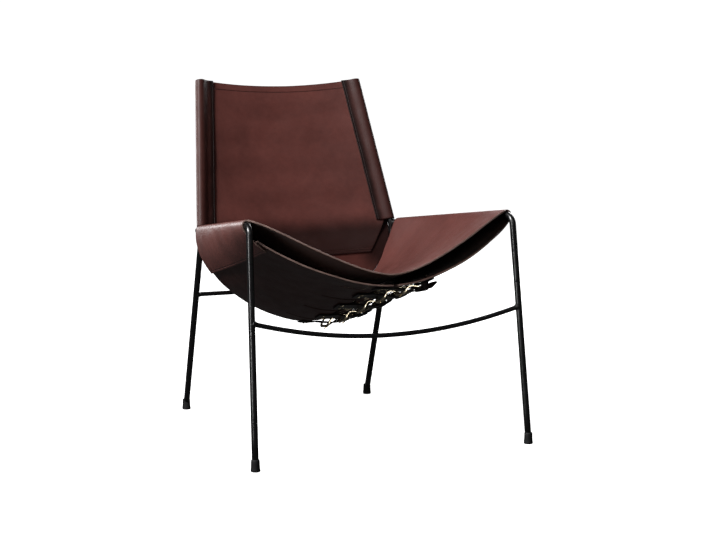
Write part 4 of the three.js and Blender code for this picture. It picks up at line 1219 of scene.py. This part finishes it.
class StudioSettings(bpy.types.PropertyGroup):
    floor_colour: colour_setting("Floor colour", "Colour of the plain floor", (0.9, 0.9, 0.9))


def power_of(light):
    """The name of the setting that holds a light's power."""
    return light.lower() + "_power"


for light_name, light_facts in LIGHTS.items():
    StudioSettings.__annotations__[power_of(light_name)] = FloatProperty(
        name=f"{light_name} light", description=f"Power of the {light_facts['what']}",
        default=light_facts["power"], min=0.0, max=2000.0, subtype="POWER", unit="POWER")


class ChairSettings(bpy.types.PropertyGroup):
    rods: PointerProperty(type=RodSettings)
    leather: PointerProperty(type=LeatherSettings)
    straps: PointerProperty(type=StrapSettings)
    studio: PointerProperty(type=StudioSettings)


# Operators

class CHAIR_OT_rods(bpy.types.Operator):
    """Makes the four bent rods and the two stretchers, with their weld fillets"""
    bl_idname = "sling_chair.rods"
    bl_label = "Add Rods"

    def execute(self, context):
        settings = context.scene.sling_chair
        look, radius = looks_for(settings)["rod"], settings.rods.radius
        for side, hand in HANDS:
            front, rear = self.side_rods(side)
            front[-1] = front[-1].lerp(front[-2], RAIL_TRIM)
            bm = bmesh.new()
            sweep(bm, front, [radius] * len(front), ROD_SIDES)
            self.add_weld(bm, side, radius)
            chair_piece(f"{hand}_front_rod", bm, [look], f"{hand}_front_leg_and_rail")
            rear.insert(-1, rear[-1] - (rear[-1] - rear[-2]).normalized() * TIP_ROUND)
            radii = [radius] * (len(rear) - 1) + [radius - TIP_ROUND]
            bm = bmesh.new()
            sweep(bm, rear, radii, ROD_SIDES)
            chair_piece(f"{hand}_rear_rod", bm, [look], f"{hand}_rear_leg_and_upright")
        self.add_stretchers(look)
        return {"FINISHED"}

    def side_rods(self, side):
        """Stations of the front rod, with its rail, and of the rear rod, with its upright."""
        front = bent(at_height(FRONT_FOOT, FRONT_TOP, FOOT_SOLE), FRONT_TOP, RAIL_END, FRONT_BEND_R)
        rear = bent(at_height(REAR_FOOT, KNEE, FOOT_SOLE), KNEE, BACK_TOP, KNEE_BEND_R)
        return [[placed(p.x * side, p.y, p.z) for p in rod] for rod in (front, rear)]

    def add_weld(self, bm, side, radius):
        """The bead where the rail meets the upright."""
        rail = self.side_rods(side)[0]
        way = (rail[-2] - rail[-1]).normalized()
        start = rail[-1] + way * radius * WELD_START
        profile = [(radius * share, height) for share, height in WELD_PROFILE]
        lathe(bm, profile, Matrix.Translation(start) @ upright(way), WELD_STEPS)

    def add_stretchers(self, look):
        for name, low, high, height, sag in (
                ("front", FRONT_FOOT, FRONT_TOP, FRONT_STRETCHER_HEIGHT, FRONT_STRETCHER_SAG),
                ("rear", REAR_FOOT, KNEE, REAR_STRETCHER_HEIGHT, 0.0)):
            end = at_height(low, high, height)
            near = spread(1.0, 0.965, 7) + [0.955]
            shares = [-s for s in near] + spread(-0.92, 0.92, 30) + near[::-1]
            line = [placed(s * end.x, end.y, end.z - sag * (1 - s * s)) for s in shares]
            clear = [max(0.0, end.x * (1 - abs(s)) - ROD_R * 0.8) for s in shares]
            bm = bmesh.new()
            sweep(bm, line, [STRETCHER_R + FILLET * math.exp(-d / FILLET_REACH) for d in clear],
                  STRETCHER_SIDES)
            chair_piece(f"{name}_stretcher_rod", bm, [look], f"{name}_stretcher")


class CHAIR_OT_feet(bpy.types.Operator):
    """Makes the four flared rubber feet"""
    bl_idname = "sling_chair.feet"
    bl_label = "Add Feet"

    def execute(self, context):
        look = looks_for(context.scene.sling_chair)["foot"]
        profile = [(0.0, 0.0), (FOOT_R - 0.0022, 0.0), (FOOT_R - 0.0009, 0.0003),
                   (FOOT_R - 0.0002, 0.001), (FOOT_R, 0.0022), (FOOT_R, 0.0048),
                   (FOOT_R - 0.0005, 0.0075), (mix(FOOT_R, FOOT_TOP_R, 0.75), 0.014),
                   (FOOT_TOP_R, 0.0225), (FOOT_TOP_R - 0.0004, 0.0242),
                   (FOOT_TOP_R - 0.0013, FOOT_HEIGHT), (ROD_R - 0.0004, FOOT_HEIGHT - 0.0008),
                   (0.0, FOOT_HEIGHT - 0.0008)]
        for end, low, high in (("front", FRONT_FOOT, FRONT_TOP), ("rear", REAR_FOOT, KNEE)):
            middle = at_height(low, high, FOOT_HEIGHT / 2)
            for side, hand in HANDS:
                bm = bmesh.new()
                sole = Matrix.Translation(placed(middle.x * side, middle.y, 0.0))
                lathe(bm, profile, sole, FOOT_STEPS)
                chair_piece(f"{hand}_{end}_foot", bm, [look], f"{hand}_{end}_foot_cap")
        return {"FINISHED"}


class CHAIR_OT_seat(bpy.types.Operator):
    """Makes the upper leather of the seat, whose flaps wrap the rails, and its flap seams"""
    bl_idname = "sling_chair.seat"
    bl_label = "Add Seat Leather"

    def execute(self, context):
        settings = context.scene.sling_chair
        looks = looks_for(settings)
        lattice = seat_lattice()
        grain = leather_look("Seat leather", settings.leather.colour, [("side", FLAP_SEAM)])
        lift = settings.leather.thickness / 2
        seams = [seam_line(lattice, FLAP_SEAM, lift, from_end) for from_end in (False, True)]
        add_sheet("seat_leather", lattice, settings.leather.thickness, "seat_sling",
                  [grain, looks["flesh"], looks["cut"]],
                  seams, "flap_stitches")
        return {"FINISHED"}


class CHAIR_OT_belly(bpy.types.Operator):
    """Makes the two belly leathers under the seat, the left one cut into five fingers"""
    bl_idname = "sling_chair.belly"
    bl_label = "Add Belly Leathers"

    def execute(self, context):
        settings = context.scene.sling_chair
        looks = looks_for(settings)
        left = left_belly_lattice()
        slits = [(SLIT_ROWS, range(BELLY_COLUMNS, len(left[0])))]
        for hand, lattice, cuts in (("right", right_belly_lattice(), ()), ("left", left, slits)):
            add_sheet(f"{hand}_belly_leather", lattice, settings.leather.thickness, f"{hand}_belly",
                      [looks["grain"], looks["flesh"], looks["cut"]],
                      cuts=cuts, flip=hand == "left")
        return {"FINISHED"}


class CHAIR_OT_back(bpy.types.Operator):
    """Makes the back: its panel, the two sleeves on the uprights and the apron behind its foot"""
    bl_idname = "sling_chair.back"
    bl_label = "Add Back"

    def execute(self, context):
        settings = context.scene.sling_chair
        looks, colour = looks_for(settings), settings.leather.colour
        self.add_panel(looks, colour)
        self.add_sleeves(looks, colour)
        # The apron is a darker copy of the leather and darker still towards its sides: all painted shade.
        shaded = leather_look("Apron leather", shade(colour, 0.65), gloss=0.5, painted_shade_sides=0.095,
                              shine=0.10)
        add_sheet("apron_leather", apron_lattice(*APRON_GRID), BACK_T, "back_apron",
                  [shaded, shaded, looks["dark_cut"]])
        return {"FINISHED"}

    def add_panel(self, looks, colour):
        panel = panel_lattice(*PANEL_GRID)
        columns = turned(panel)
        length = length_of(columns[len(columns) // 2])
        hems = [("along", at) for at in (length - BACK_HEM, *BACK_FOOT_SEAMS)]
        # The back's foot is darkened as painted shade.
        grain = leather_look("Back leather", colour, hems, burnish=0.004, painted_shade_foot=0.085, shine=0.32)
        seams = []
        for lift in (BACK_T / 2, -BACK_T / 2):
            seams.append(seam_line(columns[2:-2], BACK_HEM, lift, True))
            seams += [seam_line(columns[2:-2], at, lift) for at in BACK_FOOT_SEAMS]
        add_sheet("back_leather", panel, BACK_T, "back_panel", [grain, grain, looks["dark_cut"]],
                  seams, "back_stitches")

    def add_sleeves(self, looks, colour):
        # The sleeves are a darker copy of the leather and darker still towards their sewn edges: painted
        # shade.
        sewn = leather_look("Sleeve leather", shade(colour, 0.42), [("side", SLEEVE_SEAM)], gloss=0.46,
                            burnish=0.003, painted_shade_sides=0.022, shine=0.20)
        for side, hand in HANDS:
            lattice = sleeve_lattice(side, SLEEVE_ROWS)
            lift = BACK_T / 2 * side
            seams = [seam_line(lattice, SLEEVE_SEAM, -lift), seam_line(lattice, SLEEVE_SEAM, lift, True)]
            add_sheet(f"{hand}_sleeve_leather", lattice, BACK_T, f"{hand}_back_sleeve",
                      [sewn, looks["flesh"], looks["dark_cut"]],
                      seams, f"{hand}_sleeve_stitches", flip=side < 0)


class CHAIR_OT_straps(bpy.types.Operator):
    """Makes the five straps with their chapes, keepers and rivets"""
    bl_idname = "sling_chair.straps"
    bl_label = "Add Straps"

    def execute(self, context):
        looks = looks_for(context.scene.sling_chair)
        skins = [looks["strap"], looks["strap"], looks["strap_cut"]]
        hole_rows = range(STRAP_STEPS[0], STRAP_STEPS[0] + STRAP_STEPS[1])
        for number in range(1, STRAP_COUNT + 1):
            place = strap_place(number)
            chape, slot_rows = chape_lattice(place)
            for name, lattice, thickness, rows, edge in (
                    ("strap", strap_lattice(place), STRAP_T, hole_rows, STRAP_EDGE),
                    ("chape", chape, CHAPE_T, slot_rows, CHAPE_EDGE)):
                leather_piece(f"{name}_leather_{number}", lattice, thickness, f"{name}_{number}", skins,
                              [(rows, HOLE_COLUMNS)], edge=edge)
            self.add_keeper(number, place, looks)
            self.add_rivets(number, place, looks["brass"])
        return {"FINISHED"}

    def add_keeper(self, number, place, looks):
        bm = bmesh.new()
        ring = [bm.verts.new(place @ Vector((KEEPER_MID - KEEPER_L / 2, y, z)))
                for y, z in keeper_line(place)]
        edges = [bm.edges.new(pair) for pair in zip(ring, ring[1:] + ring[:1])]
        grown = bmesh.ops.extrude_edge_only(bm, edges=edges)["geom"]
        bmesh.ops.translate(bm, vec=place.to_3x3() @ Vector((KEEPER_L, 0, 0)),
                            verts=[g for g in grown if isinstance(g, bmesh.types.BMVert)])
        bmesh.ops.recalc_face_normals(bm, faces=bm.faces)
        for layer in ("Leather", "Rim"):
            bm.loops.layers.uv.new(layer)
        hide, rim = (bm.loops.layers.uv[layer] for layer in ("Leather", "Rim"))
        for face in bm.faces:
            for loop in face.loops:
                local = place.inverted() @ loop.vert.co
                loop[hide].uv = (local.x, local.y + local.z)
                loop[rim].uv = (KEEPER_RIM, KEEPER_RIM)
        piece = chair_piece(f"keeper_leather_{number}", bm, [looks["strap"], looks["strap_cut"]],
                            f"keeper_{number}")
        give_thickness(piece, KEEPER_T, KEEPER_EDGE, 0, 1)

    def add_rivets(self, number, place, look):
        strap_grip = LEATHER + BELLY_RELIEF + STRAP_T + 4 * LAY_GAP
        chape_grip = LEATHER + BELLY_RELIEF + 2 * CHAPE_T + 5 * LAY_GAP
        high = LEATHER + 3 * LAY_GAP
        step = RIVET_HEAD_R / 2
        for name, along, across, grip in (
                ("front_strap_rivet", STRAP_RIVET_AT, -RIVET_SPREAD, strap_grip),
                ("rear_strap_rivet", STRAP_RIVET_AT, RIVET_SPREAD, strap_grip),
                ("chape_rivet", CHAPE_RIVET_AT, 0.0, chape_grip)):
            ahead, behind, right, left, middle = (
                Vector((along + x, across + y, face_over(place, along + x, across + y)))
                for x, y in ((step, 0), (-step, 0), (0, step), (0, -step), (0, 0)))
            way = (ahead - behind).normalized()
            up = way.cross(right - left).normalized()
            low = high - grip
            profile = [*self.dome(low, -1), (RIVET_SHANK_R, low), (RIVET_SHANK_R, high),
                       *self.dome(high, 1)[::-1]]
            bm = bmesh.new()
            lathe(bm, profile, place @ Matrix.Translation(middle) @ facing(way, up), RIVET_STEPS)
            chair_piece(f"{name}_head_{number}", bm, [look], f"{name}_{number}")

    def dome(self, height, sign):
        shares = ((0.0, 1.0), (0.35, 0.94), (0.65, 0.76), (0.88, 0.42), (0.98, 0.16), (1.0, 0.0))
        return [(RIVET_HEAD_R * r, height + sign * RIVET_HEAD_H * z) for r, z in shares]


class CHAIR_OT_buckles(bpy.types.Operator):
    """Makes the five brass buckles and their prongs"""
    bl_idname = "sling_chair.buckles"
    bl_label = "Add Buckles"

    def execute(self, context):
        look = looks_for(context.scene.sling_chair)["brass"]
        for number in range(1, STRAP_COUNT + 1):
            for shape, name, node, body in (
                    (self.add_buckle, "buckle_frame", "buckle", "root"),
                    (self.add_prong, "prong_pin", "prong", f"prong_{number}_body")):
                bm = bmesh.new()
                shape(bm)
                bmesh.ops.transform(bm, matrix=strap_place(number), verts=bm.verts)
                chair_piece(f"{name}_{number}", bm, [look], f"{node}_{number}", body)
        return {"FINISHED"}

    def add_buckle(self, bm):
        sweep(bm, *buckle_line(), BUCKLE_SIDES, closed=True)

    def add_prong(self, bm):
        """An eye round the heel bar and a tapered arm that rests on the front bar."""
        heel = Vector((BUCKLE_HALF_L, 0, -HEEL_BAR_DEPTH))
        bore = HEEL_BAR_R + PRONG_GAP
        wide, soft = PRONG_EYE_W / 2, PRONG_EYE_SOFT
        profile = [(bore, -wide), (PRONG_EYE_R - soft, -wide), (PRONG_EYE_R, soft - wide),
                   (PRONG_EYE_R, wide - soft), (PRONG_EYE_R - soft, wide), (bore, wide), (bore, -wide)]
        across = Matrix.Translation(heel) @ Matrix.Rotation(math.pi / 2, 4, "X")
        lathe(bm, profile, across, PRONG_EYE_STEPS)
        rest = FRONT_BAR_DEPTH + FRONT_BAR_R + LAY_GAP + PRONG_R
        reach = Vector((-BUCKLE_HALF_L, 0, -rest)) - heel
        tip = heel + reach * (1 + FRONT_BAR_R / reach.length)
        root = heel + reach.normalized() * (bore + PRONG_EYE_R) / 2
        shares, sizes = zip(*PRONG_TAPER)
        arm = [root.lerp(tip, share) for share in shares]
        sweep(bm, arm, [PRONG_R * size for size in sizes], PRONG_SIDES)


class CHAIR_OT_studio(bpy.types.Operator):
    """Makes the pale floor, the backdrop, the soft lights and the camera"""
    bl_idname = "sling_chair.studio"
    bl_label = "Add Studio"

    def execute(self, context):
        studio = context.scene.sling_chair.studio
        self.add_room(studio.floor_colour)
        for name, light in LIGHTS.items():
            self.add_light(name, light, getattr(studio, power_of(name)))
        self.add_camera(context.scene)
        world = bpy.data.worlds.new("Studio air")
        world.use_nodes = True
        air = world.node_tree.nodes["Background"].inputs
        air["Color"].default_value = (1, 1, 1, 1)
        air["Strength"].default_value = AIR_GLOW
        context.scene.world = world
        context.scene.view_settings.view_transform = "Standard"
        return {"FINISHED"}

    def add_room(self, colour):
        """The floor and backdrop are seen, but throw no light back at the chair's dark underside."""
        floor, dome = bmesh.new(), bmesh.new()
        bmesh.ops.create_circle(floor, cap_ends=True, segments=96, radius=FLOOR_R)
        bmesh.ops.create_uvsphere(dome, u_segments=64, v_segments=32, radius=DOME_R)
        bmesh.ops.reverse_faces(dome, faces=dome.faces)
        for name, bm, glow in (("studio_floor", floor, FLOOR_GLOW), ("studio_backdrop", dome, DOME_GLOW)):
            look = Finish(name.replace("_", " "), Roughness=0.9, Specular_IOR_Level=0.0,
                          Emission_Strength=glow, Emission_Color=(*colour, 1.0))
            soft = look.noise(look.place(), 0.7, 2.0)
            look.join(look.shader, "Base Color", look.tones(soft, colour, (0.3, 0.99), (0.7, 1.0)))
            piece = plain_object(name, bm, [look.material])
            piece.visible_diffuse = piece.visible_glossy = piece.visible_transmission = False
            piece.visible_shadow = False

    def add_light(self, name, light, power):
        data = bpy.data.lights.new(name, "AREA")
        data.shape = "RECTANGLE"
        data.size, data.size_y = light["size"]
        data.energy = power
        panel = bpy.data.objects.new(name, data)
        panel.location = light["place"]
        way = Vector(light["aim"]) - Vector(light["place"])
        panel.rotation_euler = way.to_track_quat("-Z", "Y").to_euler()
        panel.visible_camera = False
        bpy.context.scene.collection.objects.link(panel)
        if "only" in light:
            lit = bpy.data.collections.new(name + " pieces")
            for piece in bpy.context.scene.objects:
                if piece.type == "MESH" and piece.name.startswith(light["only"]):
                    lit.objects.link(piece)
            panel.light_linking.receiver_collection = lit

    def add_camera(self, scene):
        data = bpy.data.cameras.new("Camera")
        data.lens = CAMERA_LENS
        data.sensor_width = CAMERA_SENSOR
        data.clip_start, data.clip_end = 0.1, 60.0
        camera = bpy.data.objects.new("Camera", data)
        level, right = math.cos(CAMERA_PITCH), Vector((math.cos(CAMERA_YAW), -math.sin(CAMERA_YAW), 0))
        forward = Vector((math.sin(CAMERA_YAW) * level, math.cos(CAMERA_YAW) * level,
                          -math.sin(CAMERA_PITCH)))
        camera.matrix_world = (Matrix.Translation(CAMERA_PLACE) @ facing(right, -forward)
                               @ Matrix.Rotation(CAMERA_ROLL, 4, "Z"))
        scene.collection.objects.link(camera)
        scene.camera = camera


# Panel, registration and the run

OPERATORS = (CHAIR_OT_rods, CHAIR_OT_feet, CHAIR_OT_seat, CHAIR_OT_belly, CHAIR_OT_back, CHAIR_OT_straps,
             CHAIR_OT_buckles, CHAIR_OT_studio)


class CHAIR_PT_panel(bpy.types.Panel):
    bl_idname = "CHAIR_PT_panel"
    bl_label = "Sling Chair"
    bl_space_type = "VIEW_3D"
    bl_region_type = "UI"
    bl_category = "Sling Chair"

    def draw(self, context):
        settings = context.scene.sling_chair
        for group in (settings.rods, settings.leather, settings.straps, settings.studio):
            box = self.layout.box()
            for prop in group.bl_rna.properties:
                if not prop.is_readonly and prop.identifier != "name":
                    box.prop(group, prop.identifier)
        for operator in OPERATORS:
            self.layout.operator(operator.bl_idname)


CLASSES = (RodSettings, LeatherSettings, StrapSettings, StudioSettings, ChairSettings, *OPERATORS,
           CHAIR_PT_panel)


def register():
    for each in CLASSES:
        bpy.utils.register_class(each)
    bpy.types.Scene.sling_chair = PointerProperty(type=ChairSettings)


def unregister():
    del bpy.types.Scene.sling_chair
    for each in reversed(CLASSES):
        bpy.utils.unregister_class(each)


def main():
    register()
    bpy.ops.sling_chair.rods()
    bpy.ops.sling_chair.feet()
    bpy.ops.sling_chair.seat()
    bpy.ops.sling_chair.belly()
    bpy.ops.sling_chair.back()
    bpy.ops.sling_chair.straps()
    bpy.ops.sling_chair.buckles()
    bpy.ops.sling_chair.studio()


if __name__ == "__main__":
    main()
